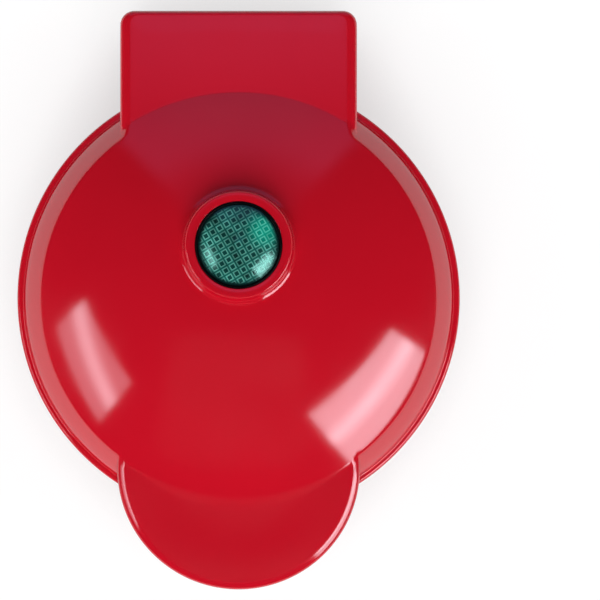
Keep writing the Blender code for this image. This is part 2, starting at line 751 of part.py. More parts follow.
def ear_troughs():
    """Make the cuts in which the ears turn, whose sloped rear ledge stops the open lid."""
    above = -KNUCKLE_RADIUS - OVERRUN
    arc = circle_points(RELIEF_RADIUS, 180, OPEN_ANGLE, 8, (HINGE_Y, 0))
    front = (HINGE_Y - RELIEF_RADIUS, above)
    tangent = opened(RELIEF_RADIUS, 0)
    far = opened(RELIEF_RADIUS, TAIL_REACH - HINGE_Y + OVERRUN)
    section = [front, *arc[:-1], tangent, far, (far[0], above)]
    reach = TAIL_HALF_WIDTH + OVERRUN
    return [
        across("trough_" + name, section, side * BARREL_HALF, side * reach)
        for name, side in SIDES
    ]


def rear_recess():
    """Make the shallow cut behind the barrel that the lid's rear wall swings through."""
    face = NOTCH_RADIUS - CLEARANCE
    back = KNUCKLE_RADIUS + CLEARANCE
    corners = [(-back, face), (back, face), (back, SHOULDER_HEIGHT), (-back, SHOULDER_HEIGHT)]
    section = [opened(y, z) for y, z in corners]
    reach = BARREL_HALF + CLEARANCE
    return across("recess", section, -reach, reach)


def base_posts(shell):
    """Add the screw posts on the floor, and drill them with deep wells for the heads."""
    posts = []
    cuts = []
    for name, x, y in SCREW_PLACES:
        floor = HANDLE_DEPTH if y < 0 else BASE_DEPTH
        top = BASE_POST_TOP
        posts.append(cylinder("post", BASE_POST_RADIUS, top, floor - WALL / 2, SCREW_STEPS, (x, y)))
        well = top + BASE_POST_CROWN
        profile = [(0, top - OVERRUN), (SCREW_BORE, top - OVERRUN), (SCREW_BORE, well)]
        profile += [(SCREW_WELL, well), (SCREW_WELL, floor + OVERRUN), (0, floor + OVERRUN)]
        cuts.append(turned("well", profile, SCREW_STEPS, centre=(x, y)))
    combine(shell, "UNION", posts)
    return combine(shell, "DIFFERENCE", cuts)


def foot_seats():
    """Make the shallow round seats for the feet."""
    start = BASE_DEPTH - FOOT_SEAT_DEPTH
    end = BASE_DEPTH + OVERRUN
    return [
        cylinder("seat", FOOT_RADIUS + CLEARANCE, start, end, SMALL_STEPS, (x, y))
        for name, x, y in FOOT_PLACES
    ]


def base_shell(surface):
    """Mould the base: bowl, handle, rear block, hinge barrel, screw posts and seats."""
    profile = [(0, HALF_GAP), *rim_points(), *bowl_points(0, 6), (0, BASE_DEPTH)]
    shell = turned("base_shell", profile, ROUND_STEPS, surface)
    handle = base_block("handle", handle_outline, HANDLE_DEPTH, HANDLE_EDGE)
    tail = base_block("tail", lambda inset: tail_outline(inset, inset), BASE_DEPTH, BASE_EDGE)
    combine(shell, "UNION", [handle, tail])
    combine(shell, "DIFFERENCE", [base_hollow()])
    reach = BARREL_HALF + OVERRUN / 2
    barrel = across("barrel", rod_section(BARREL_RADIUS, HINGE_STEPS), -reach, reach)
    combine(shell, "UNION", [barrel])
    base_posts(shell)
    above = -KNUCKLE_RADIUS - OVERRUN
    slot = box(
        "lead_slot",
        (-LEAD_SLOT_HALF, HINGE_Y - RELIEF_RADIUS - OVERRUN, above),
        (LEAD_SLOT_HALF, TAIL_REACH + OVERRUN, LEAD_SLOT_FLOOR),
    )
    channel = box(
        "lead_channel",
        (-LEAD_SLOT_HALF, HINGE_Y - LEAD_SLOT_FLOOR, above),
        (LEAD_SLOT_HALF, HINGE_Y + LEAD_SLOT_FLOOR, trough_depth() + WALL + OVERRUN),
    )
    gland_hole = rear_hole(GLAND_RADIUS + CLEARANCE)
    cuts = [*ear_troughs(), rear_recess(), *pin_bores(), slot, channel, gland_hole, *foot_seats()]
    combine(shell, "DIFFERENCE", cuts)
    return place(shell, "base")


def rear_hole(radius):
    """Make the hole for the gland in the rear wall."""
    hole = cylinder("gland_hole", radius, -WALL - OVERRUN, OVERRUN, SMALL_STEPS)
    hole.data.transform(Matrix.Rotation(math.radians(-90), 4, "X"))
    hole.data.transform(Matrix.Translation((0, TAIL_REACH, PARTING_HEIGHT - GLAND_HEIGHT)))
    return hole


# Frames

def frame(half, surface, carrier=None):
    """Make the inner frame: the ring and lip that hold the plate, and both covers."""
    radius = INNER_RADIUS - CLEARANCE
    lip_face = HALF_GAP + PLATE_FLANGE + CLEARANCE
    lip_back = lip_face + LIP_THICKNESS
    hole = PLATE_RADIUS + CLEARANCE
    lip_outer = inside_radius(lip_back) - CLEARANCE
    lip_inner = hole - LIP_WIDTH
    thick = RIM_HEIGHT - WALL - CLEARANCE
    profile = [(hole, HALF_GAP), (radius, HALF_GAP), (radius, thick), (lip_outer, thick)]
    profile += [(lip_outer, lip_back), (lip_inner, lip_back), (lip_inner, lip_face), (hole, lip_face)]
    ring = turned(half + "_frame", profile, INNER_STEPS, surface)
    gap = WALL + CLEARANCE
    handle = prism("handle_cover", handle_outline(gap), HALF_GAP, COVER_BACK)
    side = TAIL_HALF_WIDTH - gap
    tail = box("tail_cover", (-side, ROOT, HALF_GAP), (side, FRAME_REAR, COVER_BACK))
    inner = (lip_outer + hole) / 2
    for piece in (handle, tail):
        middle = cylinder("middle", inner, HALF_GAP - OVERRUN, COVER_BACK + OVERRUN, INNER_STEPS)
        combine(piece, "DIFFERENCE", [middle])
    combine(ring, "UNION", [handle, tail])
    if half == "lid":
        lid_frame_holes(ring)
    else:
        base_frame_posts(ring)
    return place(ring, half, carrier)


def lid_frame_holes(ring):
    """Sink the lid screws' heads into the covers."""
    cuts = []
    for name, x, y in SCREW_PLACES:
        seat = HALF_GAP + SCREW_RECESS + SCREW_HEAD_THICKNESS + CLEARANCE
        profile = [(0, HALF_GAP - OVERRUN), (SCREW_WELL, HALF_GAP - OVERRUN), (SCREW_WELL, seat)]
        profile += [(SCREW_BORE, seat), (SCREW_BORE, COVER_BACK + OVERRUN), (0, COVER_BACK + OVERRUN)]
        cuts.append(turned("screw_hole", profile, SCREW_STEPS, centre=(x, y)))
    return combine(ring, "DIFFERENCE", cuts)


def base_frame_posts(ring):
    """Add the posts that take the base screws, with blind holes."""
    end = BASE_POST_TOP - CLEARANCE
    posts = []
    holes = []
    for name, x, y in SCREW_PLACES:
        posts.append(cylinder("post", POST_RADIUS, COVER_THICKNESS / 2, end, SCREW_STEPS, (x, y)))
        holes.append(cylinder("hole", SCREW_BORE, COVER_THICKNESS / 3, end + OVERRUN, SCREW_STEPS, (x, y)))
    combine(ring, "UNION", posts)
    return combine(ring, "DIFFERENCE", holes)


# Cooking plates

def stud_field():
    """Make the grid of tapered square studs, clipped to a round field."""
    built = bmesh.new()
    count = math.ceil(STUD_FIELD_RADIUS / STUD_PITCH)
    places = [STUD_PITCH * (index + 1 / 2) for index in range(-count, count)]
    half = STUD_WIDTH / 2
    root = TRAY_FLOOR + PLATE_FLOOR / 2
    top = TRAY_FLOOR - STUD_HEIGHT
    for x in places:
        for y in places:
            if math.hypot(abs(x) - half, abs(y) - half) < STUD_FIELD_RADIUS - STUD_DRAFT:
                ends = []
                for height, size in ((root, half), (top, half - STUD_DRAFT)):
                    corners = ((-size, -size), (size, -size), (size, size), (-size, size))
                    ends.append([built.verts.new((x + dx, y + dy, height)) for dx, dy in corners])
                for here in range(4):
                    there = (here + 1) % 4
                    built.faces.new((ends[0][here], ends[0][there], ends[1][there], ends[1][here]))
                built.faces.new(ends[0])
                built.faces.new(ends[1])
    studs = object_from("studs", built)
    profile = [
        (0, top - OVERRUN),
        (STUD_FIELD_RADIUS - STUD_DRAFT, top - OVERRUN),
        (STUD_FIELD_RADIUS, root + OVERRUN),
        (0, root + OVERRUN),
    ]
    return combine(studs, "INTERSECT", [turned("field", profile, LENS_STEPS)])


def plate(name, half, surface, carrier=None):
    """Cast a cooking plate: a flanged tray with studs, and two screw bosses behind."""
    floor_radius = TRAY_RADIUS - TRAY_DRAFT
    profile = [
        (0, TRAY_FLOOR),
        (floor_radius, TRAY_FLOOR),
        (TRAY_RADIUS, HALF_GAP + TRAY_EDGE),
        (TRAY_RADIUS + TRAY_EDGE, HALF_GAP),
        (PLATE_RADIUS, HALF_GAP),
        (PLATE_RADIUS, HALF_GAP + PLATE_FLANGE),
        (PLATE_BACK_RADIUS, HALF_GAP + PLATE_FLANGE),
        (PLATE_BACK_RADIUS - TRAY_DRAFT, PLATE_BACK - PLATE_CHAMFER),
        (PLATE_BACK_RADIUS - TRAY_DRAFT - PLATE_CHAMFER, PLATE_BACK),
        (0, PLATE_BACK),
    ]
    tray = turned(name, profile, INNER_STEPS, surface)
    start = PLATE_BACK - PLATE_FLOOR / 2
    bosses = [
        cylinder("boss", BOSS_RADIUS, start, ELEMENT_BACK, SMALL_STEPS, (side * BOSS_PLACE, 0))
        for _, side in SIDES
    ]
    combine(tray, "UNION", [stud_field(), *bosses])
    combine(tray, "DIFFERENCE", screw_holes(start + PLATE_FLOOR / 3, ELEMENT_BACK + OVERRUN))
    return place(tray, half, carrier)


def screw_holes(start, end):
    """Make the bores for both clamp screws."""
    return [
        cylinder("hole", SCREW_BORE, start, end, SCREW_STEPS, (side * BOSS_PLACE, 0))
        for _, side in SIDES
    ]


# Heating

def smooth_path(route, steps):
    """Return points on a smooth curve through the route's own points."""
    points = [Vector(point) for point in route]
    ends = [2 * points[0] - points[1], *points, 2 * points[-1] - points[-2]]
    path = []
    for here in range(1, len(ends) - 2):
        before, start, end, after = ends[here - 1 : here + 3]
        for step in range(steps):
            t = step / steps
            path.append(
                (2 * start + (end - before) * t
                 + (2 * before - 5 * start + 4 * end - after) * t**2
                 + (3 * start - before - 3 * end + after) * t**3) / 2
            )
    path.append(points[-1])
    return path


def tube(name, path, radius, resolution, surface, half, carrier=None):
    """Sweep a round tube with closed ends along a path of points from the parting plane."""
    sign = -1 if half == "base" else 1
    curve = bpy.data.curves.new(name, "CURVE")
    curve.dimensions = "3D"
    curve.bevel_depth = radius
    curve.bevel_resolution = resolution
    curve.use_fill_caps = True
    line = curve.splines.new("POLY")
    line.points.add(len(path) - 1)
    for point, place_at in zip(line.points, path):
        x, y, height = place_at
        point.co = (x, y, PARTING_HEIGHT + sign * height, 1)
    made = bpy.data.objects.new(name, curve)
    bpy.context.scene.collection.objects.link(made)
    curve.materials.append(surface)
    return carry(made, carrier)


def element(name, half, surface, carrier=None):
    """Bend the heating element: an open ring whose two ends turn out to the rear."""
    first = 90 + ELEMENT_OPEN_ANGLE
    last = 450 - ELEMENT_OPEN_ANGLE
    ring = circle_points(ELEMENT_RING, first, last, ELEMENT_STEPS)
    bend_side = (ELEMENT_END_SIDE + abs(ring[0][0])) / 2
    bend_reach = ELEMENT_RING + ELEMENT_RADIUS / 2
    straight = ELEMENT_END_REACH - 2 * ELEMENT_RADIUS / 3
    start = [(-ELEMENT_END_SIDE, ELEMENT_END_REACH), (-ELEMENT_END_SIDE, straight)]
    lead_in = [*start, (-bend_side + ELEMENT_RADIUS / 3, bend_reach), ring[0], ring[1]]
    bend = [(p.x, p.y) for p in smooth_path([(x, y, 0) for x, y in lead_in], 3)[:-4]]
    mirrored = [(-x, y) for x, y in reversed(bend)]
    path = [(x, y, ELEMENT_PLACE) for x, y in [*bend, *ring, *mirrored]]
    return tube(name, path, ELEMENT_RADIUS, 2, surface, half, carrier)


def terminal(name, half, side, surface, carrier=None):
    """Make a terminal pin in line with one end of the element."""
    start = ELEMENT_END_REACH + CLEARANCE
    ends = [(side * ELEMENT_END_SIDE, y, ELEMENT_PLACE) for y in (start, start + TERMINAL_LENGTH)]
    return tube(name, ends, TERMINAL_RADIUS, 1, surface, half, carrier)


def clamp(name, half, side, surface, carrier=None):
    """Make the strap that presses the element to the plate."""
    half_width = CLAMP_WIDTH / 2
    low, high = sorted((side * CLAMP_START, side * CLAMP_END))
    strap = box(name, (low, -half_width, CLAMP_FACE), (high, half_width, CLAMP_BACK), surface)
    combine(strap, "DIFFERENCE", screw_holes(CLAMP_FACE - OVERRUN, CLAMP_BACK + OVERRUN))
    return place(strap, half, carrier)


def reflector(name, half, surface, carrier=None):
    """Make the sheet dish behind the element, with its edge turned towards the plate."""
    inner = REFLECTOR_RADIUS - REFLECTOR_THICKNESS
    profile = [
        (0, REFLECTOR_FACE),
        (inner, REFLECTOR_FACE),
        (inner, CLAMP_FACE),
        (REFLECTOR_RADIUS, CLAMP_FACE),
        (REFLECTOR_RADIUS, REFLECTOR_BACK),
        (0, REFLECTOR_BACK),
    ]
    dish = turned(name, profile, LENS_STEPS, surface)
    combine(dish, "DIFFERENCE", screw_holes(REFLECTOR_FACE - OVERRUN, REFLECTOR_BACK + OVERRUN))
    return place(dish, half, carrier)


def screw(name, half, x, y, seat, length, surface, carrier=None, inward=True):
    """Make a pan-head screw. The seat is under the head, and the shank points inward or outward."""
    way = -1 if inward else 1
    head = seat - way * SCREW_HEAD_THICKNESS
    rim = seat - way * SCREW_HEAD_THICKNESS / 2
    profile = [
        (0, seat + way * length),
        (SCREW_RADIUS, seat + way * length),
        (SCREW_RADIUS, seat),
        (SCREW_HEAD_RADIUS, seat),
        (SCREW_HEAD_RADIUS, rim),
        (SCREW_HEAD_RADIUS - SCREW_HEAD_THICKNESS / 2, head),
        (0, head),
    ]
    made = turned(name, profile, SCREW_STEPS, surface, (x, y))
    return place(made, half, carrier)


def thermostat(surface):
    """Make the disc thermostat between the lower plate's back and the reflector."""
    face = PLATE_BACK + CLEARANCE
    back = REFLECTOR_FACE - CLEARANCE
    middle = (face + back) / 2
    profile = [
        (0, face),
        (THERMOSTAT_RADIUS, face),
        (THERMOSTAT_RADIUS, middle),
        (THERMOSTAT_CAP, middle),
        (THERMOSTAT_CAP, back),
        (0, back),
    ]
    return place(turned("thermostat", profile, SMALL_STEPS, surface), "base")


def thermal_fuse(surface):
    """Make the fuse that lies against the back of the lower plate."""
    tip = FUSE_RADIUS / 2
    profile = [
        (0, -FUSE_HALF_LENGTH - FUSE_CAP),
        (tip, -FUSE_HALF_LENGTH - FUSE_CAP),
        (tip, -FUSE_HALF_LENGTH),
        (FUSE_RADIUS, -FUSE_HALF_LENGTH),
        (FUSE_RADIUS, FUSE_HALF_LENGTH),
        (tip, FUSE_HALF_LENGTH),
        (tip, FUSE_HALF_LENGTH + FUSE_CAP),
        (0, FUSE_HALF_LENGTH + FUSE_CAP),
    ]
    fuse = turned("thermal_fuse", profile, SMALL_STEPS, surface)
    fuse.data.transform(Matrix.Rotation(math.radians(90), 4, "Y"))
    fuse.data.transform(Matrix.Translation((0, FUSE_PLACE, PLATE_BACK + CLEARANCE + FUSE_RADIUS)))
    return place(fuse, "base")


# Indicator

def lens_ring(surface, carrier):
    """Make the black seal between the lens and the collar."""
    inner = LENS_RING_RADIUS - LENS_RING_WALL
    step = LENS_SEAT + LENS_FLANGE
    profile = [
        (inner, LENS_SEAT),
        (HOLDER_RADIUS, LENS_SEAT),
        (HOLDER_RADIUS, step),
        (LENS_RING_RADIUS, step),
        (LENS_RING_RADIUS, COLLAR_TOP + LENS_RING_PROUD),
        (inner, COLLAR_TOP + LENS_RING_PROUD),
    ]
    return place(turned("lens_ring", profile, LENS_STEPS, surface, (0, LENS_OFFSET)), "lid", carrier)


def cap_points(radius, edge, rise, steps):
    """Return points over a round cap, from its edge to its top."""
    bulge = (radius**2 + rise**2) / (2 * rise)
    spread = math.asin(radius / bulge)
    points = []
    for step in range(steps, -1, -1):
        angle = spread * step / steps
        points.append((bulge * math.sin(angle), edge + rise - bulge * (1 - math.cos(angle))))
    return points


def indicator_lens(surface, carrier):
    """Make the hollow domed lens."""
    inner = LENS_RADIUS - LENS_WALL
    outer_cap = cap_points(LENS_RADIUS, LENS_EDGE, LENS_RISE, 4)
    inner_cap = cap_points(inner, LENS_EDGE - LENS_WALL / 2, LENS_RISE - LENS_WALL / 2, 3)
    profile = [*reversed(inner_cap), (inner, LENS_SEAT), (LENS_RADIUS, LENS_SEAT), *outer_cap]
    return place(turned("indicator_lens", profile, LENS_STEPS, surface, (0, LENS_OFFSET)), "lid", carrier)


def lamp_holder(surface, carrier):
    """Make the disc that backs the lens and holds the lamp in a short tube."""
    bore = LAMP_RADIUS + CLEARANCE
    back = HOLDER_FACE - HOLDER_THICKNESS
    profile = [
        (bore, HOLDER_FACE),
        (HOLDER_RADIUS, HOLDER_FACE),
        (HOLDER_RADIUS, back),
        (HOLDER_TUBE, back),
        (HOLDER_TUBE, back - HOLDER_DROP),
        (bore, back - HOLDER_DROP),
    ]
    return place(turned("lamp_holder", profile, LENS_STEPS, surface, (0, LENS_OFFSET)), "lid", carrier)


def indicator_lamp(surface, carrier):
    """Make the small lamp with a round top."""
    foot = HOLDER_FACE - HOLDER_THICKNESS - HOLDER_DROP
    crown = circle_points(LAMP_RADIUS, 0, 90, 4, (0, foot + LAMP_LENGTH - LAMP_RADIUS))
    profile = [(0, foot), (LAMP_RADIUS, foot), *crown[:-1], (0, foot + LAMP_LENGTH)]
    return place(turned("indicator_lamp", profile, SMALL_STEPS, surface, (0, LENS_OFFSET)), "lid", carrier)


# Hinge pins, feet and wiring

def hinge_pin(name, side, surface):
    """Make a pin from the barrel into one ear."""
    start = side * (PIN_INNER + CLEARANCE)
    end = side * (PIN_BORE_END - CLEARANCE)
    return place(across(name, rod_section(PIN_RADIUS), start, end, surface), "lid")


def foot(name, x, y, surface):
    """Make a rubber foot from the resting surface into its seat."""
    top = FOOT_GAP + FOOT_SEAT_DEPTH - CLEARANCE
    profile = [
        (0, 0),
        (FOOT_RADIUS - FOOT_EDGE, 0),
        (FOOT_RADIUS, FOOT_EDGE),
        (FOOT_RADIUS, top),
        (0, top),
    ]
    made = turned(name, profile, SMALL_STEPS, surface)
    made.location = (x, y, 0)
    return carry(made, None)


def cord_gland(surface):
    """Make the bush in the rear wall, with its flange inside."""
    inner_face = TAIL_REACH - WALL - CLEARANCE
    end = TAIL_REACH - CLEARANCE
    profile = [
        (GLAND_BORE, inner_face - GLAND_FLANGE),
        (GLAND_FLANGE_RADIUS, inner_face - GLAND_FLANGE),
        (GLAND_FLANGE_RADIUS, inner_face),
        (GLAND_RADIUS, inner_face),
        (GLAND_RADIUS, end),
        (GLAND_BORE, end),
    ]
    bush = turned("cord_gland", profile, SMALL_STEPS, surface)
    bush.data.transform(Matrix.Rotation(math.radians(-90), 4, "X"))
    bush.location = (0, 0, GLAND_HEIGHT)
    return carry(bush, None)


def terminal_block(surface):
    """Make the block on the base's floor where the cord meets the leads."""
    floor = FOOT_GAP + WALL + CLEARANCE
    low = (-BLOCK_HALF_WIDTH, BLOCK_FRONT, floor)
    high = (BLOCK_HALF_WIDTH, BLOCK_REAR, floor + BLOCK_HEIGHT)
    block = box("terminal_block", low, high, surface)
    holes = []
    for _, side in SIDES:
        hole = cylinder("hole", BLOCK_HOLE_RADIUS, -OVERRUN, BLOCK_LENGTH + OVERRUN, SMALL_STEPS)
        hole.data.transform(Matrix.Rotation(math.radians(-90), 4, "X"))
        hole.data.transform(Matrix.Translation((side * BLOCK_HOLE_SIDE, low[1], floor + BLOCK_HEIGHT / 2)))
        holes.append(hole)
    combine(block, "DIFFERENCE", holes)
    return carry(block, None)


def block_height():
    """Return the height of the terminal block's holes, down from the parting plane."""
    return BASE_DEPTH - WALL - CLEARANCE - BLOCK_HEIGHT / 2


def between(start, end, shares):
    """Return points that are the given shares of the way along each axis."""
    return [tuple(a + (b - a) * s for a, b, s in zip(start, end, share)) for share in shares]


def lid_lead(name, side, surface, carrier):
    """Lay a lead from the hinge axis over the frame and the plate's edge to the upper element."""
    end = ELEMENT_END_REACH + TERMINAL_LENGTH + 2 * CLEARANCE
    start = (side * ELEMENT_END_SIDE, end, ELEMENT_PLACE)
    crossing = (side * LEAD_SIDE, FRAME_REAR, LEAD_PASS)
    hinge = (side * LEAD_SIDE, HINGE_Y, 0)
    over, past = (point[0] for point in between(start, crossing, LID_LEAD_SIDE_SHARES))
    edge = (over, PLATE_BACK_RADIUS - TRAY_DRAFT, PLATE_BACK + LEAD_RADIUS + CLEARANCE)
    drop = (past, PLATE_BACK_RADIUS + 5 * LEAD_RADIUS, PLATE_BACK - PLATE_CHAMFER)
    first = between(start, edge, LID_LEAD_START_SHARES)
    last = between(drop, crossing, LID_LEAD_END_SHARES)
    route = [start, *first, edge, drop, *last, crossing, hinge]
    return tube(name, smooth_path(route, 2), LEAD_RADIUS, 1, surface, "lid", carrier)


def hinge_lead(name, side, surface):
    """Lay a lead from the terminal block up to the hinge axis."""
    start = (side * BLOCK_HOLE_SIDE, BLOCK_REAR + CLEARANCE, block_height())
    under = (side * LEAD_SIDE, HINGE_Y, KNUCKLE_RADIUS + WALL + CLEARANCE)
    hinge = (side * LEAD_SIDE, HINGE_Y, LEAD_RADIUS + CLEARANCE)
    route = [start, *between(start, under, HINGE_LEAD_SHARES), under, hinge]
    return tube(name, smooth_path(route, 2), LEAD_RADIUS, 1, surface, "base")


def element_lead(name, side, surface):
    """Lay a lead from the terminal block to the lower element."""
    reach = ELEMENT_END_REACH + TERMINAL_LENGTH + 2 * CLEARANCE
    start = (side * BLOCK_HOLE_SIDE, BLOCK_FRONT - CLEARANCE, block_height())
    end = (side * ELEMENT_END_SIDE, reach, ELEMENT_PLACE)
    route = [start, *between(start, end, ELEMENT_LEAD_SHARES), end]
    return tube(name, smooth_path(route, 2), LEAD_RADIUS, 1, surface, "base")


# Assembly

def build_heating(half, prefix, surfaces, carrier=None):
    """Make one half's plate, element, clamps, reflector and their screws."""
    plate(prefix + "_plate", half, surfaces["plate_coating"], carrier)
    element(prefix + "_element", half, surfaces["element_sheath"], carrier)
    reflector(prefix + "_reflector", half, surfaces["aluminised_steel"], carrier)
    seat = REFLECTOR_BACK + CLEARANCE
    for name, side in SIDES:
        terminal(f"{prefix}_terminal_{name}", half, side, surfaces["steel"], carrier)
        clamp(f"{prefix}_clamp_{name}", half, side, surfaces["steel"], carrier)
        screw(
            f"{prefix}_clamp_screw_{name}",
            half,
            side * BOSS_PLACE,
            0,
            seat,
            CLAMP_SCREW_LENGTH,
            surfaces["steel"],
            carrier,
        )


def build_base(surfaces):
    """Make the pieces that stay still."""
    base_shell(surfaces["red_plastic"])
    frame("base", surfaces["frame_plastic"])
    build_heating("base", "lower", surfaces)
    thermostat(surfaces["white_ceramic"])
    thermal_fuse(surfaces["steel"])
    terminal_block(surfaces["white_ceramic"])
    cord_gland(surfaces["black_rubber"])
    seat = BASE_POST_TOP + BASE_POST_CROWN + CLEARANCE
    for name, x, y in SCREW_PLACES:
        screw("base_screw_" + name, "base", x, y, seat, SCREW_LENGTH, surfaces["steel"])
    for name, x, y in FOOT_PLACES:
        foot("foot_" + name, x, y, surfaces["black_rubber"])
    for name, side in SIDES:
        hinge_pin("hinge_pin_" + name, side, surfaces["steel"])
        hinge_lead("hinge_lead_" + name, side, surfaces["lead_sleeve"])
        element_lead("element_lead_" + name, side, surfaces["lead_sleeve"])


def build_lid(surfaces):
    """Make the pieces that turn with the lid, carried by an empty on the hinge axis."""
    axis = bpy.data.objects.new("lid_hinge_axis", None)
    bpy.context.scene.collection.objects.link(axis)
    axis.location = (0, HINGE_Y, PARTING_HEIGHT)
    bpy.context.view_layer.update()
    lid_shell(surfaces["red_plastic"], axis)
    frame("lid", surfaces["frame_plastic"], axis)
    build_heating("lid", "upper", surfaces, axis)
    lens_ring(surfaces["black_rubber"], axis)
    indicator_lens(surfaces["green_lens"], axis)
    lamp_holder(surfaces["dark_plastic"], axis)
    indicator_lamp(surfaces["lamp_glass"], axis)
    seat = HALF_GAP + SCREW_RECESS + SCREW_HEAD_THICKNESS
    for name, x, y in SCREW_PLACES:
        screw("lid_screw_" + name, "lid", x, y, seat, SCREW_LENGTH, surfaces["steel"], axis, inward=False)
    for name, side in SIDES:
        lid_lead("lid_lead_" + name, side, surfaces["lead_sleeve"], axis)


def main():
    """Build the waffle maker in an empty scene."""
    for leftover in list(bpy.data.objects):
        bpy.data.objects.remove(leftover, do_unlink=True)
    surfaces = make_materials()
    build_base(surfaces)
    build_lid(surfaces)


main()
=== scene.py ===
"""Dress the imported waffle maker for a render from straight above.

Lengths are in metres, angles in degrees unless a function says otherwise, and +Z is up.
The handle points along -Y. Heights named from the parting plane grow away from it, up in
the lid and down in the base.
"""

import math

import bmesh
import bpy
from mathutils import Matrix, Vector


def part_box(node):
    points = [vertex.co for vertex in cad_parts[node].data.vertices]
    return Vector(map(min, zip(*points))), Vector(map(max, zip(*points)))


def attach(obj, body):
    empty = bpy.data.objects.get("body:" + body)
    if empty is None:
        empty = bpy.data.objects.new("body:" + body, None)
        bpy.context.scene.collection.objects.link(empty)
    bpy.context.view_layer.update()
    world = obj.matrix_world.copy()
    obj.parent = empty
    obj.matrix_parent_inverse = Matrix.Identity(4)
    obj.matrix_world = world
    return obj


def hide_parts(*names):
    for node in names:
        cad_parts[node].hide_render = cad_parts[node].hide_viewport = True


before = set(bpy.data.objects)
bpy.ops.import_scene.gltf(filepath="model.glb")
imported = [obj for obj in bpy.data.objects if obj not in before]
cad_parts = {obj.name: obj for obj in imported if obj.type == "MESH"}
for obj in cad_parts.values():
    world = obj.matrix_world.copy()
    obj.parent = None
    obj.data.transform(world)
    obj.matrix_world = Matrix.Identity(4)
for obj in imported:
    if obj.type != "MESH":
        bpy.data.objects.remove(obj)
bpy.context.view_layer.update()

# Fits
CLEARANCE = 0.0003
MERGE_DISTANCE = 0.000002
OVERRUN = 0.003
PARALLEL = 1e-12
SHARE_SLACK = 1e-9

# Fineness
SMOOTH_ANGLE = 35
LID_SMOOTH_ANGLE = 40
BASE_SMOOTH_ANGLE = 32
PLATE_SMOOTH_ANGLE = 28
BODY_STEPS = 192
HOLLOW_STEPS = 96
PLATE_STEPS = 160
LENS_STEPS = 128
ROUND_STEPS = 64
HOLE_STEPS = 48
SCREW_STEPS = 40
WELL_STEPS = 32
SHOULDER_STEPS = 28
DOME_ROWS = 44
SIDE_COLUMNS = 110
TOP_COLUMNS = 132
EAR_COLUMNS = 40
NOTCH_COLUMNS = 40
NEAR_RUN = 0.004
NEAR_ROWS = 20
TOP_SHARES = (0.15, 0.3, 0.45, 0.6, 0.8, 1)
WALL_SHARES = (0.3, 0.7)

# Round body
BODY_RADIUS = 0.0635
PARTING_HEIGHT = 0.036
HALF_GAP = 0.0002
RIM_HEIGHT = 0.004
RIM_EDGE = 0.0011
LEDGE_WIDTH = 0.0019
LEDGE_FILLET = 0.0005
WALL = 0.0022
DOME_EDGE = 0.057
DOME_EDGE_HEIGHT = 0.012
DOME_RISE = 0.0155
SHOULDER_RADIUS = 0.0554
SHOULDER_TURN = (0.00067, 0.0015)
SHOULDER_TILTS = (52, 72)
FILLET_RUN = 0.003

# Handle and rear block. The bevel is in pairs of (inset, drop)
HANDLE_REACH = 0.083
HANDLE_RADIUS = 0.0345
HANDLE_EDGE = 0.0014
HANDLE_BEVEL = [
    (0.0024, 0), (0.0023, 0.000008), (0.0022, 0.00003), (0.0021, 0.000057),
    (0.0019, 0.000125), (0.0017, 0.000201), (0.0015, 0.000283), (0.0013, 0.00037),
    (0.0011, 0.000462), (0.0009, 0.00056), (0.00074, 0.000643),
]
BEVEL_TILT = 28
HANDLE_LIFTS = (0.001, 0.0004)
BODY_BLEND = 0.0025
FILLET_SIZES = (0.0003, 0.0011)
FILLET_SPAN = (0.003, 0.02)
TAIL_FILLET = 0.00012
HANDLE_SLOPE_SHARE = 0.08
HANDLE_DEPTH = 0.0105
TAIL_REACH = 0.0818
TAIL_HALF_WIDTH = 0.0337
TAIL_CORNER = 0.004
TAIL_SIDE_ROLL = 0.003
TAIL_REAR_ROLL = 0.0015
TAIL_ROLL_DROP = 0.002
TAIL_ROLL_TILT = 5
ROOT = 0.02

# Base
FOOT_GAP = 0.0035
BASE_FLAT_RADIUS = 0.041
BOWL_SIDE_SHARE = 0.45
BOWL_FLOOR_SHARE = 0.65
BASE_EDGE = 0.002

# Hinge
KNUCKLE_RADIUS = 0.006
BARREL_RADIUS = 0.0055
BARREL_HALF = 0.0197
HINGE_CLEARANCE = 0.0004
EAR_INSET = 0.00025
OPEN_ANGLE = 95
SLOT_HALF = 0.0026
SLOT_FLOOR = 0.0014

# Collar and lens. The collar's foot is in pairs of (radius, rise)
LENS_OFFSET = 0.0147
COLLAR_TOP = 0.0313
COLLAR_RADIUS = 0.0149
COLLAR_EDGE = 0.0007
COLLAR_FOOT_SLOPE = 0.6
COLLAR_WALL_TILT = 80
COLLAR_FOOT = [
    (0.0169, 0), (0.0167, 0.000015), (0.0165, 0.00006), (0.0163, 0.000145),
    (0.0161, 0.00025), (0.0159, 0.000362), (0.0157, 0.000485), (0.01555, 0.00063),
]
COLLAR_LIP = 0.002
LENS_RING_RADIUS = 0.012
LENS_RING_WALL = 0.0005
LENS_RING_PROUD = 0.0003
LENS_RISE = 0.0036

# Plates. The stud's edge is in shares of the draft: (up from the top, inset, corner)
PLATE_RADIUS = 0.056
PLATE_FLANGE = 0.0025
TRAY_RADIUS = 0.0508
TRAY_DEPTH = 0.0075
TRAY_DRAFT = 0.0008
TRAY_EDGE = 0.0007
STUD_PITCH = 0.017
STUD_WIDTH = 0.0127
STUD_HEIGHT = 0.0051
STUD_DRAFT = 0.0007
STUD_EDGE = [(1, 0, 2), (0.45, 0.12, 1.8), (0.12, 0.45, 1.5), (0, 1, 1.2)]
STUD_FIELD_RADIUS = 0.045

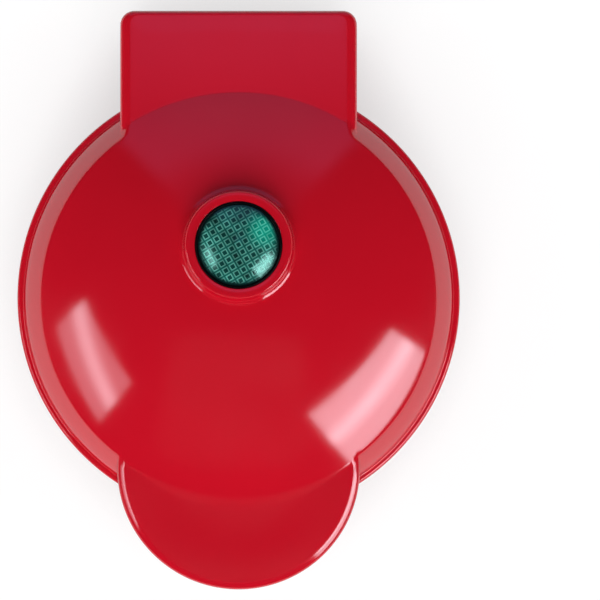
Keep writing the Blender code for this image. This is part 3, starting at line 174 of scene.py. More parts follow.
# Screws, feet and gland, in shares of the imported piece's radius, head or length
PLACES = ("front_left", "front_right", "rear_left", "rear_right")
SCREW_SHANK = 0.45
SCREW_HEAD = 0.55
SCREW_CROWN = 0.8
CROSS_ARM = 0.62
CROSS_WIDTH = 0.11
CROSS_DEPTH = 0.6
FOOT_RING = (0.5, 0.6)
GLAND_BORE = 0.52
GLAND_NECK = 0.725
GLAND_COLLAR = (0.38, 0.4)
CORD_HOLE = 0.75

# Surfaces. Most values of a noise lie in NOISE_SPAN
NOISE_SPAN = (0.3, 0.7)
SMEAR_SCALE = 2.7
LENS_PITCH = 0.0022
LENS_TURN = 30
LENS_CELL_SHIFT = 100.5
LENS_STOPS = [
    (0.0, (0.003, 0.04, 0.035)),
    (0.5, (0.004, 0.05, 0.043)),
    (0.57, (0.12, 0.38, 0.31)),
    (0.66, (0.12, 0.38, 0.31)),
    (0.72, (0.03, 0.2, 0.165)),
    (0.88, (0.024, 0.18, 0.145)),
    (0.94, (0.003, 0.045, 0.04)),
    (1.0, (0.002, 0.035, 0.03)),
]
LENS_CLOUD = 120
LENS_CELL_SHADES = (-0.3, 0.25)
LENS_CLOUD_SHADES = (0.7, 1.35)
# A painted glow: brighter green added round a spot off the lens's middle, standing in for light
# through it
LENS_PAINTED_GLOW = (0.0, 0.26, 0.17)
LENS_PAINTED_GLOW_PLACE = (0.0072, 0.0045)
LENS_PAINTED_GLOW_SPAN = (0.001, 0.0065)
# Painted shade: the lens darkens to this colour towards its edge, by the black ring
LENS_RIM_PAINTED_SHADE = (0.0015, 0.014, 0.014)
LENS_RIM_SHADE_SHARES = (0.86, 0.98)
LENS_ROUGHNESS = (0.1, 0.2)
LENS_BUMP = 0.4
LENS_BUMP_DEPTH = 0.00002
LENS_BUMP_SPAN = (0.24, 0.3)
LENS_SPECULAR = 0.9
LENS_TINT = (0.4, 1.0, 0.82)

# Each slot's finish: look, two shades, blotches a metre, roughness and how far it varies,
# grains a metre, relief, metallic, specular
FINISHES = {
    "black_ring": (
        "gloss", (0.0008, 0.0008, 0.001), (0.0015, 0.0015, 0.0017), 160, 0.45, 0.05,
        3200, 4e-6, 0, 0.12,
    ),
    "red_plastic": (
        "gloss", (0.53, 0.003, 0.014), (0.58, 0.0042, 0.0165), 30, 0.1, 0.02, 1400, 8e-7, 0, 0.65,
    ),
    "frame_plastic": (
        "satin", (0.38, 0.006, 0.014), (0.44, 0.009, 0.018), 40, 0.34, 0.06, 2600, 1.2e-5,
    ),
    "plate_coating": (
        "fine", (0.016, 0.016, 0.018), (0.034, 0.033, 0.035), 70, 0.42, 0.08, 3000, 2e-5, 0.2,
    ),
    "steel": ("drawn", (0.5, 0.5, 0.51), 0.62, 300, 0.3, 0.1, 2500, 6e-6, 1.0),
    "aluminised_steel": (
        "sheet", (0.6, 0.6, 0.61), (0.76, 0.76, 0.75), 120, 0.36, 0.08, 1800, 1e-5, 1.0,
    ),
    "element_sheath": (
        "heated", (0.1, 0.085, 0.075), (0.21, 0.19, 0.17), 110, 0.5, 0.1, 2200, 1e-5, 0.8,
    ),
    "black_rubber": ("fine", 0.004, 0.009, 160, 0.5, 0.1, 3200, 8e-6, 0, 0.3),
    "white_ceramic": (
        "fired", (0.74, 0.72, 0.66), (0.83, 0.82, 0.78), 150, 0.45, 0.1, 2400, 1.5e-5,
    ),
    "dark_plastic": (
        "fine", (0.022, 0.022, 0.023), (0.038, 0.037, 0.037), 90, 0.42, 0.08, 2600, 1e-5,
    ),
    "lamp_glass": ("warm", (0.7, 0.62, 0.45), (0.86, 0.82, 0.68), 200, 0.08, 0.04, 1200, 4e-6),
    "lead_sleeve": ("braid", (0.64, 0.62, 0.56), (0.8, 0.78, 0.73), 400, 0.8, 0.1, 4200, 8e-5),
}

# World, by the way that a reflection looks: dim above the floor, with a haze to the rear
ROOM_EDGE = (-0.01, 0.05)
ROOM_DIM = 0.04
HAZE = (0.25, 0.30, 0.62)
HAZE_REAR = (0.05, 0.12)
HAZE_WIDTH = (0.04, 0.16)
HAZE_FLARE = 0.85
HAZE_FOOT = (0.1, 0.3)
HAZE_FADE = (0.62, 0.82)
HAZE_LEVELS = (0.75, 0.15)
HAZE_TOP = (0.95, 0.985)
WORLD_FILL = 0.32

# Floor
FLOOR_REACH = 40 * BODY_RADIUS
FLOOR_STEPS = 24
FLOOR_HEIGHT = -0.0001
FLOOR_SHADES = (0.82, 0.84)
FLOOR_BLOTCH = 3
FLOOR_ROUGHNESS = 0.9
FLOOR_SHADE = 0.2
# Painted shade: the floor's glow to the camera is dimmed near the object and where ambient
# occlusion finds the object close by
FLOOR_PAINTED_SHADE_LIFT = 0.82
FLOOR_PAINTED_SHADE_FADE = (0.07, 0.25)
PAINTED_SHADE_REACH = 0.032
PAINTED_SHADE_SPAN = (0.35, 0.85)
PAINTED_CONTACT_SHADE = 0.7

# Lights. A softbox: name, size, radiance, (zenith, azimuth), corners, streak's ends and gain.
# A lamp: name, size, watts, (zenith, azimuth), distance
SOFTBOX_DISTANCE = 1.0
SOFTBOX_COLOUR = (0.97, 0.91, 1.0)
SOFTBOX_EDGE = 0.03
STREAK_WIDTH = 0.08
SOFTBOXES = [
    (
        "softbox_left", (0.68, 0.4), 2.8, (51.9, 202.2),
        [(-0.316, 0.097), (-0.215, -0.142), (0.329, -0.144), (0.205, 0.188)],
        ((-0.25, 0.03), (0.28, 0.0)), 1.8,
    ),
    (
        "softbox_right", (0.75, 0.5), 7.0, (54.1, 324.8),
        [(0.342, 0.131), (-0.308, 0.256), (-0.366, -0.217), (0.32, -0.171)],
        ((-0.35, 0.03), (0.32, -0.02)), 0.7,
    ),
]
LAMPS = [
    ("key", (2, 2), 62, (33, 268), 2.6),
    ("fill_left", (1, 0.5), 8, (75, 195), 1.4),
    ("fill_right", (1, 0.5), 8, (75, 345), 1.4),
    ("fill_rear", (1, 0.5), 2.5, (65, 90), 1.4),
]

# Camera. The scale is in pixels a metre at the parting plane, and the shift in pixels
PHOTO_PIXELS = 600
CAMERA_SCALE = 3471
CAMERA_SHIFT = (61.4, -1.8)
CAMERA_HEIGHT = 0.76
CAMERA_SENSOR = 36

# Derived
HINGE_Y = TAIL_REACH - KNUCKLE_RADIUS
NOTCH_RADIUS = BARREL_RADIUS + HINGE_CLEARANCE
RELIEF_RADIUS = KNUCKLE_RADIUS + HINGE_CLEARANCE
EAR_INNER = BARREL_HALF + CLEARANCE
HANDLE_CENTRE = HANDLE_REACH - HANDLE_RADIUS
SOLID_FRONT = HINGE_Y - RELIEF_RADIUS - WALL
DOME_RADIUS = (DOME_EDGE**2 + DOME_RISE**2) / (2 * DOME_RISE)
DOME_TOP = DOME_EDGE_HEIGHT + DOME_RISE
DOME_SLOPE = math.tan(math.asin(DOME_EDGE / DOME_RADIUS))
CREASE_RADIUS = DOME_EDGE + FILLET_RUN / 2
CREASE_HEIGHT = DOME_EDGE_HEIGHT - DOME_SLOPE * FILLET_RUN / 2
BASE_DEPTH = PARTING_HEIGHT - FOOT_GAP
LENS_RADIUS = LENS_RING_RADIUS - LENS_RING_WALL - CLEARANCE

# Angles in radians where the handle and rear block meet the dome's edge, and of the ears' ends
HANDLE_MEET = math.acos(HANDLE_RADIUS / SHOULDER_RADIUS)
TAIL_MEET = math.acos(TAIL_HALF_WIDTH / SHOULDER_RADIUS)
EAR_ANGLE = math.atan2(TAIL_REACH, EAR_INNER)


# Meshes

def clean_mesh(name, built):
    """Turn a bmesh into a mesh with no doubled points and with its faces turned outwards."""
    bmesh.ops.remove_doubles(built, verts=built.verts, dist=MERGE_DISTANCE)
    bmesh.ops.dissolve_degenerate(built, edges=built.edges, dist=MERGE_DISTANCE)
    bmesh.ops.recalc_face_normals(built, faces=built.faces)
    mesh = bpy.data.meshes.new(name)
    built.to_mesh(mesh)
    built.free()
    return mesh


def add_object(name, data):
    """Link a mesh, a light or a camera to the scene."""
    made = bpy.data.objects.new(name, data)
    bpy.context.scene.collection.objects.link(made)
    return made


def finish_mesh(name, built, surface, body, angle=SMOOTH_ANGLE):
    """Turn a bmesh into a smooth-shaded piece that rides on a body."""
    return finish_object(name, clean_mesh(name, built), surface, body, angle)


def finish_object(name, mesh, surface, body, angle=SMOOTH_ANGLE):
    """Link a mesh as a piece with its material and its body."""
    made = add_object(name, mesh)
    mesh.materials.clear()
    mesh.materials.append(surface)
    mesh.shade_smooth()
    mesh.set_sharp_from_angle(angle=math.radians(angle))
    if body:
        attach(made, body)
    return made


def add_rows(built, rows, closed=False):
    """Add a strip of quads between successive rows of points."""
    made = [[built.verts.new(point) for point in row] for row in rows]
    count = len(made[0])
    for lower, upper in zip(made, made[1:]):
        for here in range(count if closed else count - 1):
            there = (here + 1) % count
            built.faces.new((lower[here], lower[there], upper[there], upper[here]))
    return made


def add_face(built, points):
    """Add one face through points."""
    built.faces.new([built.verts.new(point) for point in points])


def spread(first, last, count):
    """Return evenly spread values, both ends included."""
    return [first + (last - first) * i / count for i in range(count + 1)]


def polar(radius, angle):
    """Return the plane point at a radius and an angle in radians."""
    return radius * math.cos(angle), radius * math.sin(angle)


def unit(degrees):
    """Return the cosine and the sine of an angle."""
    return polar(1, math.radians(degrees))


def arc_points(radius, first, last, steps, centre=(0, 0)):
    """Return points along an arc, both ends included."""
    points = [polar(radius, math.radians(degrees)) for degrees in spread(first, last, steps)]
    return [(centre[0] + x, centre[1] + y) for x, y in points]


def level(plan, height):
    """Return plan points at a height."""
    return [(x, y, height) for x, y in plan]


def rectangle(x0, y0, x1, y1):
    """Return the corners of a rectangle between two opposite ones."""
    return [(x0, y0), (x1, y0), (x1, y1), (x0, y1)]


def bezier(controls, steps):
    """Return points on a curve between the end controls, drawn towards those between them."""
    degree = len(controls) - 1
    points = []
    for step in range(steps + 1):
        t = step / steps
        weights = [math.comb(degree, k) * (1 - t) ** (degree - k) * t**k for k in range(degree + 1)]
        points.append(tuple(sum(w * p[i] for w, p in zip(weights, controls)) for i in range(2)))
    return points


def turn(profile, steps, centre=(0, 0)):
    """Turn a profile of (radius, height) about an upright axis into a bmesh."""
    rows = []
    for radius, height in profile:
        ring = [polar(radius, math.tau * step / steps) for step in range(steps)]
        rows.append([(centre[0] + x, centre[1] + y, height) for x, y in ring])
    built = bmesh.new()
    add_rows(built, rows, closed=True)
    return built


def turned(profile, steps, centre=(0, 0)):
    """Make a solid turned about an upright axis, from a profile that starts and ends on it."""
    return solid_from(turn(profile, steps, centre))


def solid_from(built):
    """Make a bare closed object for a cut or a union."""
    return add_object("solid", clean_mesh("solid", built))


def loft(rings):
    """Close a stack of rings into a solid."""
    built = bmesh.new()
    made = add_rows(built, rings, closed=True)
    built.faces.new(made[0])
    built.faces.new(made[-1])
    return solid_from(built)


def prism(outline, start, end):
    """Extrude a plan outline between two heights."""
    return loft([level(outline, height) for height in (start, end)])


def block(low, high):
    """Make a box between two corners."""
    return prism(rectangle(*low[:2], *high[:2]), low[2], high[2])


def across(section, start, end):
    """Extrude a section of (y, z) points along X."""
    return loft([[(x, y, z) for y, z in section] for x in (start, end)])


def combine(target, operation, others):
    """Join, cut or intersect solids, and remove those used for it."""
    for other in others:
        modifier = target.modifiers.new(operation, "BOOLEAN")
        modifier.operation = operation
        modifier.solver = "MANIFOLD"
        modifier.object = other
    bpy.context.view_layer.update()
    evaluated = target.evaluated_get(bpy.context.evaluated_depsgraph_get())
    mesh = bpy.data.meshes.new_from_object(evaluated)
    target.modifiers.clear()
    target.data = mesh
    for other in others:
        bpy.data.objects.remove(other)
    return target


def settle(target, name, surface, body, angle=SMOOTH_ANGLE, place=(0, 0, PARTING_HEIGHT)):
    """Move a solid from its own heights to its place in its body's half, and finish it."""
    mesh = target.data
    if body == "base":
        mesh.transform(Matrix.Diagonal((1, 1, -1, 1)))
        mesh.flip_normals()
    mesh.transform(Matrix.Translation(place))
    bpy.data.objects.remove(target)
    mesh.name = name
    return finish_object(name, mesh, surface, body, angle)


def packed_round(name):
    """Return the box of a packed round piece, its middle in plan and its radius."""
    low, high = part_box(name)
    centre = ((low[0] + high[0]) / 2, (low[1] + high[1]) / 2)
    return low, high, centre, (high[0] - low[0]) / 2


# Outlines and heights

def dome_height(x, y):
    """Return the height of the dome above the parting plane."""
    return DOME_TOP - DOME_RADIUS + math.sqrt(DOME_RADIUS**2 - x**2 - y**2)


def ease(value, first, last):
    """Return a soft step from 0 to 1 between two values."""
    t = min(max((value - first) / (last - first), 0), 1)
    return t * t * (3 - 2 * t)


def higher(first, second, size):
    """Return the higher of two heights, with a fillet of a given size between them."""
    near = max(size - abs(first - second), 0) / size
    return max(first, second) + near * near * size / 4


def block_height(x, y, inset, fall):
    """Return the height of the rear block or handle, where they grow out of the body."""
    radius = math.hypot(x, y)
    share = ease(inset, 0, BODY_BLEND)
    body = dome_height(x, y)
    if share < 1 and radius > SHOULDER_RADIUS:
        body = body_height(radius) * (1 - share) + body * share
    if y > 0:
        return higher(body, CREASE_HEIGHT - fall, TAIL_FILLET)
    inner = ease(inset, *FILLET_SPAN)
    size, lift = (first + (last - first) * inner for first, last in (FILLET_SIZES, HANDLE_LIFTS))
    top = CREASE_HEIGHT - HANDLE_SLOPE_SHARE * (-y / radius) * (radius - CREASE_RADIUS)
    return higher(body, top + lift - fall, size)


def shoulder_points():
    """Return the shoulder from the dome down to the ledge: a quick turn, then a steep flank."""
    top = (SHOULDER_RADIUS, dome_height(SHOULDER_RADIUS, 0))
    slope = math.tan(math.asin(SHOULDER_RADIUS / DOME_RADIUS))
    near, far = SHOULDER_TURN
    first, last = (math.tan(math.radians(tilt)) for tilt in SHOULDER_TILTS)
    bend = (top[0] + near, top[1] - slope * near)
    flank = (top[0] + far, bend[1] - first * (far - near))
    foot = (BODY_RADIUS - LEDGE_WIDTH, RIM_HEIGHT)
    reach = (last * (foot[0] - flank[0]) - (flank[1] - foot[1])) / (last - first)
    control = (flank[0] + reach, flank[1] - first * reach)
    curve = bezier((top, bend, flank), SHOULDER_STEPS // 3)
    return [*curve, *bezier((flank, control, foot), SHOULDER_STEPS)[1:]]


def body_profile():
    """Return the body's outside from the dome's edge to the parting plane and inside again."""
    shoulder = [point for point in shoulder_points() if point[1] > RIM_HEIGHT + LEDGE_FILLET]
    foot = BODY_RADIUS - LEDGE_WIDTH
    controls = (shoulder[-1], (foot, RIM_HEIGHT), (foot + LEDGE_FILLET, RIM_HEIGHT))
    ledge = bezier(controls, 5)[1:]
    edge = BODY_RADIUS - RIM_EDGE
    rim = arc_points(RIM_EDGE, 90, 0, 6, (edge, RIM_HEIGHT - RIM_EDGE))
    low = HALF_GAP + CLEARANCE / 2
    inner = BODY_RADIUS - WALL
    under = [(BODY_RADIUS, low), (BODY_RADIUS - CLEARANCE / 2, HALF_GAP), (inner, HALF_GAP)]
    return [*shoulder, *ledge, *rim, *under, (inner, RIM_HEIGHT - WALL)]


BODY_PROFILE = body_profile()


def body_height(radius):
    """Return the height of the body's outside at a radius past the dome."""
    for (r0, z0), (r1, z1) in zip(BODY_PROFILE, BODY_PROFILE[1:]):
        if r0 <= radius <= r1 and r1 > r0:
            return z0 + (z1 - z0) * (radius - r0) / (r1 - r0)
    return HALF_GAP


def handle_outline(inset, steps=96):
    """Return the handle's plan, a half round with straight sides into the body."""
    radius = HANDLE_RADIUS - inset
    arc = arc_points(radius, 180, 360, steps, (0, -HANDLE_CENTRE))
    return [(-radius, -ROOT), *arc, (radius, -ROOT)]


def tail_outline(side_inset, rear_inset, steps=16):
    """Return the rear block's plan, with rounded rear corners."""
    half = TAIL_HALF_WIDTH - side_inset
    back = TAIL_REACH - rear_inset
    corner = TAIL_CORNER - rear_inset
    right = arc_points(corner, 0, 90, steps, (half - corner, back - corner))
    left = arc_points(corner, 90, 180, steps, (corner - half, back - corner))
    return [(half, ROOT), *right, *left, (-half, ROOT)]


def rolled_tail_outline(inset):
    """Return the rear block's plan at an inset of its rolled edge, tighter at the rear."""
    return tail_outline(inset, inset * (TAIL_REAR_ROLL / TAIL_SIDE_ROLL))


def block_inset(x, y):
    """Return how far a point is inside the outline of the handle or of the rear block."""
    if y > 0:
        return min(TAIL_HALF_WIDTH - abs(x), TAIL_REACH - y)
    return HANDLE_RADIUS - (abs(x) if y > -HANDLE_CENTRE else math.hypot(x, y + HANDLE_CENTRE))


def reach_to(angle, outline):
    """Return how far a ray from the axis, at an angle in radians, goes inside an outline."""
    c, s = polar(1, angle)
    best = 0
    for (x0, y0), (x1, y1) in zip(outline, outline[1:]):
        dx, dy = x1 - x0, y1 - y0
        cross = c * dy - s * dx
        if abs(cross) > PARALLEL:
            along = (x0 * dy - y0 * dx) / cross
            share = (x0 * s - y0 * c) / cross
            if -SHARE_SLACK <= share <= 1 + SHARE_SLACK and along > best:
                best = along
    return best


# Lid shell. Its columns are at angles in radians about the body's axis

TAIL_ANGLES = [
    *spread(TAIL_MEET, EAR_ANGLE, EAR_COLUMNS),
    *spread(EAR_ANGLE, math.pi - EAR_ANGLE, NOTCH_COLUMNS)[1:],
    *spread(math.pi - EAR_ANGLE, math.pi - TAIL_MEET, EAR_COLUMNS)[1:],
]
HANDLE_ANGLES = spread(math.pi + HANDLE_MEET, math.tau - HANDLE_MEET, TOP_COLUMNS)
RING_ANGLES = [
    *spread(-HANDLE_MEET, TAIL_MEET, SIDE_COLUMNS)[:-1],
    *TAIL_ANGLES[:-1],
    *spread(math.pi - TAIL_MEET, math.pi + HANDLE_MEET, SIDE_COLUMNS)[:-1],
    *HANDLE_ANGLES[:-1],
]


def circle(radius, centre_y=LENS_OFFSET):
    """Return plan points round a circle, one a column."""
    points = [polar(radius, angle) for angle in RING_ANGLES]
    return [(x, centre_y + y) for x, y in points]


def collar_foot_height(radius, rise, x, y):
    """Return the height of the collar's foot, less steep where the dome falls away."""
    fall = (x * x + y * (y - LENS_OFFSET)) / (radius * DOME_RADIUS)
    return dome_height(x, y) + rise * (1 - fall / COLLAR_FOOT_SLOPE)


def add_dome(built):
    """Add the dome from the collar's foot to its edge, and the collar."""
    foot = COLLAR_FOOT[0][0]
    rows = []
    for share in spread(0, 1, DOME_ROWS):
        plan = circle(foot + (SHOULDER_RADIUS - foot) * share, LENS_OFFSET * (1 - share))
        rows.append([(x, y, dome_height(x, y)) for x, y in plan])
    add_rows(built, rows, closed=True)
    rows = []
    for radius, rise in COLLAR_FOOT:
        plan = circle(radius)
        rows.append([(x, y, collar_foot_height(radius, rise, x, y)) for x, y in plan])
    edge = (COLLAR_RADIUS - COLLAR_EDGE, COLLAR_TOP - COLLAR_EDGE)
    profile = arc_points(COLLAR_EDGE, 90 - COLLAR_WALL_TILT, 90, 8, edge)
    inner = LENS_RING_RADIUS + CLEARANCE / 3
    lip = COLLAR_EDGE / 3
    profile += arc_points(lip, 90, 180, 4, (inner + lip, COLLAR_TOP - lip))
    profile.append((inner, COLLAR_TOP - 2 * COLLAR_LIP))
    rows += [level(circle(radius), height) for radius, height in profile]
    add_rows(built, rows, closed=True)


def handle_limit(radius, inset):
    """Return the angle in radians at which a circle about the axis meets the handle's side."""
    half = HANDLE_RADIUS - inset
    off = math.asin(half / radius)
    if radius * math.cos(off) > HANDLE_CENTRE:
        off = math.acos((radius**2 + HANDLE_CENTRE**2 - half**2) / (2 * HANDLE_CENTRE * radius))
    return off - math.pi / 2


def add_sides(built):
    """Add the shoulder, ledge and rim between the handle and the rear block, on both sides."""
    for side in (1, -1):
        rows = []
        for radius, height in BODY_PROFILE:
            tuck = min(CLEARANCE, (radius - SHOULDER_RADIUS) / 3)
            first = handle_limit(radius, tuck)
            last = math.acos((TAIL_HALF_WIDTH - tuck) / radius)
            arc = [polar(radius, angle) for angle in spread(first, last, SIDE_COLUMNS)]
            rows.append([(side * x, y, height) for x, y in arc])
        add_rows(built, rows)


def round_edge(run, drop, first, steps):
    """Return (inset, drop) points of a rounded edge from a tilt down to the wall."""
    points = []
    for tilt in spread(first, 90, steps):
        angle = math.atan(math.tan(math.radians(min(tilt, 89.99))) * run / drop)
        points.append((run * (1 - math.sin(angle)), drop * (1 - math.cos(angle))))
    return points


def add_top(built, angles, outline, edge):
    """Add the top, rolled edge and wall of the handle or rear block, one column an angle.

    The edge is a list of (inset, drop) from the top to the wall.
    """
    steps = spread(0, NEAR_RUN, NEAR_ROWS)
    soft = CLEARANCE / 2
    columns = []
    for angle in angles:
        def out_to(inset):
            """Return the reach of this column to the outline at an inset."""
            return reach_to(angle, outline(inset))

        start = max(out_to(edge[0][0]), SHOULDER_RADIUS)
        near = min(start, SHOULDER_RADIUS + steps[-1])
        run = start - SHOULDER_RADIUS
        reaches = [min(start, SHOULDER_RADIUS + step) for step in steps]
        reaches += [max(near, SHOULDER_RADIUS + run * share) for share in TOP_SHARES]
        column = []
        for radius in reaches:
            x, y = polar(radius, angle)
            column.append((x, y, block_height(x, y, block_inset(x, y), 0)))
        for inset, fall in edge[1:]:
            radius = max(SHOULDER_RADIUS, out_to(inset))
            x, y = polar(radius, angle)
            on_dome = radius == SHOULDER_RADIUS
            height = dome_height(x, y) if on_dome else block_height(x, y, inset, fall)
            column.append((x, y, height))
        x, y, height = column[-1]
        bottom = min(height, wall_end(x, y))
        for share in WALL_SHARES:
            column.append((x, y, height + (bottom + soft - height) * share))
        column.append((x, y, bottom + soft))
        for radius in (max(SHOULDER_RADIUS, out_to(soft)), out_to(WALL)):
            column.append((*polar(radius, angle), bottom))
        columns.append(column)
    add_rows(built, [list(row) for row in zip(*columns)])


def wall_end(x, y):
    """Return the lower end of the handle's or rear block's wall, higher over the hinge barrel."""
    return NOTCH_RADIUS if abs(x) < EAR_INNER - MERGE_DISTANCE and y > HINGE_Y else HALF_GAP


def add_notch(built):
    """Add the ceiling and the sides of the space for the hinge barrel, and the floor beside it."""
    back = TAIL_REACH - CLEARANCE / 2
    arc = arc_points(NOTCH_RADIUS, 90, 180, 16, (HINGE_Y, 0))
    front = arc[-1][0]
    section = [(back, NOTCH_RADIUS), *[point for point in arc if point[1] > HALF_GAP]]
    section.append((front, HALF_GAP))
    add_rows(built, [[(x, y, z) for y, z in section] for x in (-EAR_INNER, EAR_INNER)])
    half = TAIL_HALF_WIDTH - WALL / 2
    rear = TAIL_REACH - WALL / 2
    for side in (-1, 1):
        inner, far = side * EAR_INNER, side * half
        add_face(built, [(inner, y, z) for y, z in [*section, (back, HALF_GAP)]])
        add_face(built, level(rectangle(inner, front, far, rear), HALF_GAP))
    add_face(built, level(rectangle(-half, SOLID_FRONT, half, front), HALF_GAP))


def knuckle_section(radius):
    """Return a round section about the hinge axis."""
    return arc_points(radius, 0, 360, ROUND_STEPS, (HINGE_Y, 0))[:-1]


def lid_shell(surface):
    """Make the lid's moulding as one fine skin, and its two hinge knuckles."""
    built = bmesh.new()
    add_dome(built)
    add_sides(built)
    rounding = round_edge(HANDLE_EDGE, HANDLE_EDGE, BEVEL_TILT, 8)
    drop = HANDLE_BEVEL[-1][1] - rounding[0][1]
    edge = [*HANDLE_BEVEL, *[(inset, fall + drop) for inset, fall in rounding[1:]]]
    add_top(built, HANDLE_ANGLES, handle_outline, edge)
    rounding = round_edge(TAIL_SIDE_ROLL, TAIL_ROLL_DROP, TAIL_ROLL_TILT, 12)
    add_top(built, TAIL_ANGLES, rolled_tail_outline, [(TAIL_SIDE_ROLL, 0), *rounding])
    add_notch(built)
    bmesh.ops.translate(built, verts=built.verts, vec=(0, 0, PARTING_HEIGHT))
    shell = finish_mesh("lid_moulding", built, surface, "lid", LID_SMOOTH_ANGLE)
    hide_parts("lid_shell")
    for name, side in (("left", -1), ("right", 1)):
        reach = TAIL_HALF_WIDTH + OVERRUN
        knuckle = across(knuckle_section(KNUCKLE_RADIUS), side * EAR_INNER, side * reach)
        outline = tail_outline(EAR_INSET, EAR_INSET)
        around = prism(outline, -KNUCKLE_RADIUS - OVERRUN, DOME_EDGE_HEIGHT)
        combine(knuckle, "INTERSECT", [around])
        ear = settle(knuckle, "hinge_knuckle_" + name, surface, "lid")


# Base shell, modelled downwards from the parting plane

def bowl_points(inset, steps):
    """Return the bowl's side, from the ledge down to the flat underside."""
    start = (BODY_RADIUS - LEDGE_WIDTH, RIM_HEIGHT)
    end = (BASE_FLAT_RADIUS, BASE_DEPTH)
    side = (start[0], start[1] + BOWL_SIDE_SHARE * (end[1] - start[1]))
    floor = (end[0] + BOWL_FLOOR_SHARE * (start[0] - end[0]), end[1])
    curve = bezier((start, side, floor, end), steps)
    return [(radius - inset, height - inset) for radius, height in curve]


def base_block(outline, depth, edge):
    """Make the base's handle or rear block, with a rounded lower edge."""
    rings = [level(outline(0), HALF_GAP)]
    for degrees in spread(0, 90, 7):
        c, s = unit(degrees)
        rings.append(level(outline(edge * (1 - c)), depth - edge * (1 - s)))
    return loft(rings)


def opened(y, z):
    """Return where a lid point, measured from the hinge axis, is when the lid is open."""
    c, s = unit(OPEN_ANGLE)
    return (HINGE_Y + y * c + z * s, -(z * c - y * s))


def base_cuts():
    """Make the troughs for the knuckles, the recess behind the barrel, and the leads' slot."""
    above = -KNUCKLE_RADIUS - OVERRUN
    arc = arc_points(RELIEF_RADIUS, 180, OPEN_ANGLE, 24, (HINGE_Y, 0))
    far = opened(RELIEF_RADIUS, TAIL_REACH - HINGE_Y + OVERRUN)
    section = [(HINGE_Y - RELIEF_RADIUS, above), *arc, far, (far[0], above)]
    end = TAIL_HALF_WIDTH + OVERRUN
    cuts = [across(section, side * BARREL_HALF, side * end) for side in (-1, 1)]
    face = NOTCH_RADIUS - CLEARANCE
    back = KNUCKLE_RADIUS + CLEARANCE
    corners = rectangle(-back, face, back, DOME_EDGE_HEIGHT)
    reach = BARREL_HALF + CLEARANCE
    cuts.append(across([opened(y, z) for y, z in corners], -reach, reach))
    front = HINGE_Y - RELIEF_RADIUS - OVERRUN
    cuts.append(block((-SLOT_HALF, front, above), (SLOT_HALF, TAIL_REACH + OVERRUN, SLOT_FLOOR)))
    return cuts


def base_screw_wells():
    """Make the wells for the base screws' heads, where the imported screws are."""
    wells = []
    for place in PLACES:
        low, _, centre, radius = packed_round("base_screw_" + place)
        start = PARTING_HEIGHT - low[2] - WALL / 2
        section = rectangle(0, start, radius + CLEARANCE, PARTING_HEIGHT)
        wells.append(turned(section, WELL_STEPS, centre))
    return wells


def cord_hole():
    """Make the cut for the cord in the rear wall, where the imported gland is."""
    low, high, _, radius = packed_round("cord_gland")
    hole = turned(rectangle(0, -OVERRUN, radius * CORD_HOLE, OVERRUN), HOLE_STEPS)
    hole.data.transform(Matrix.Rotation(math.radians(-90), 4, "X"))
    depth = PARTING_HEIGHT - (low[2] + high[2]) / 2
    hole.data.transform(Matrix.Translation((0, TAIL_REACH, depth)))
    return hole


def base_hollow():
    """Make the space inside the base's bowl, handle and rear block, clear of the ears' trough."""
    start = HALF_GAP - OVERRUN
    floor = BASE_DEPTH - WALL
    inner = BODY_RADIUS - WALL
    bowl = [(0, start), (inner, start), (inner, RIM_HEIGHT - WALL), *bowl_points(WALL, 10)]
    hollow = turned([*bowl, (0, floor)], HOLLOW_STEPS)
    handle = prism(handle_outline(WALL, 48), start, HANDLE_DEPTH - WALL)
    half = TAIL_HALF_WIDTH - WALL
    tail = block((-half, ROOT, start), (half, SOLID_FRONT, floor))
    c, s = unit(OPEN_ANGLE)
    trough = RELIEF_RADIUS * s - (KNUCKLE_RADIUS - RELIEF_RADIUS * c) / s * c
    rear_low = (-half, ROOT + OVERRUN, trough + WALL)
    rear = block(rear_low, (half, TAIL_REACH - WALL, floor - CLEARANCE))
    return combine(hollow, "UNION", [handle, tail, rear])


def base_shell(surface):
    """Make the base's moulding: bowl, handle, rear block and hinge barrel."""
    rim = [(BODY_RADIUS - CLEARANCE / 2, HALF_GAP), (BODY_RADIUS, HALF_GAP + CLEARANCE / 2)]
    rim += arc_points(RIM_EDGE, 0, 90, 5, (BODY_RADIUS - RIM_EDGE, RIM_HEIGHT - RIM_EDGE))
    shell = turned([(0, HALF_GAP), *rim, *bowl_points(0, 36), (0, BASE_DEPTH)], BODY_STEPS)
    handle = base_block(lambda inset: handle_outline(inset, 64), HANDLE_DEPTH, HANDLE_EDGE)
    tail = base_block(lambda inset: tail_outline(inset, inset, 8), BASE_DEPTH, BASE_EDGE)
    combine(shell, "UNION", [handle, tail])
    combine(shell, "DIFFERENCE", [base_hollow()])
    reach = BARREL_HALF + CLEARANCE
    combine(shell, "UNION", [across(knuckle_section(BARREL_RADIUS), -reach, reach)])
    combine(shell, "DIFFERENCE", [*base_cuts(), cord_hole(), *base_screw_wells()])
    shell = settle(shell, "base_moulding", surface, "base", BASE_SMOOTH_ANGLE)
    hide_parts("base_shell")


# Indicator

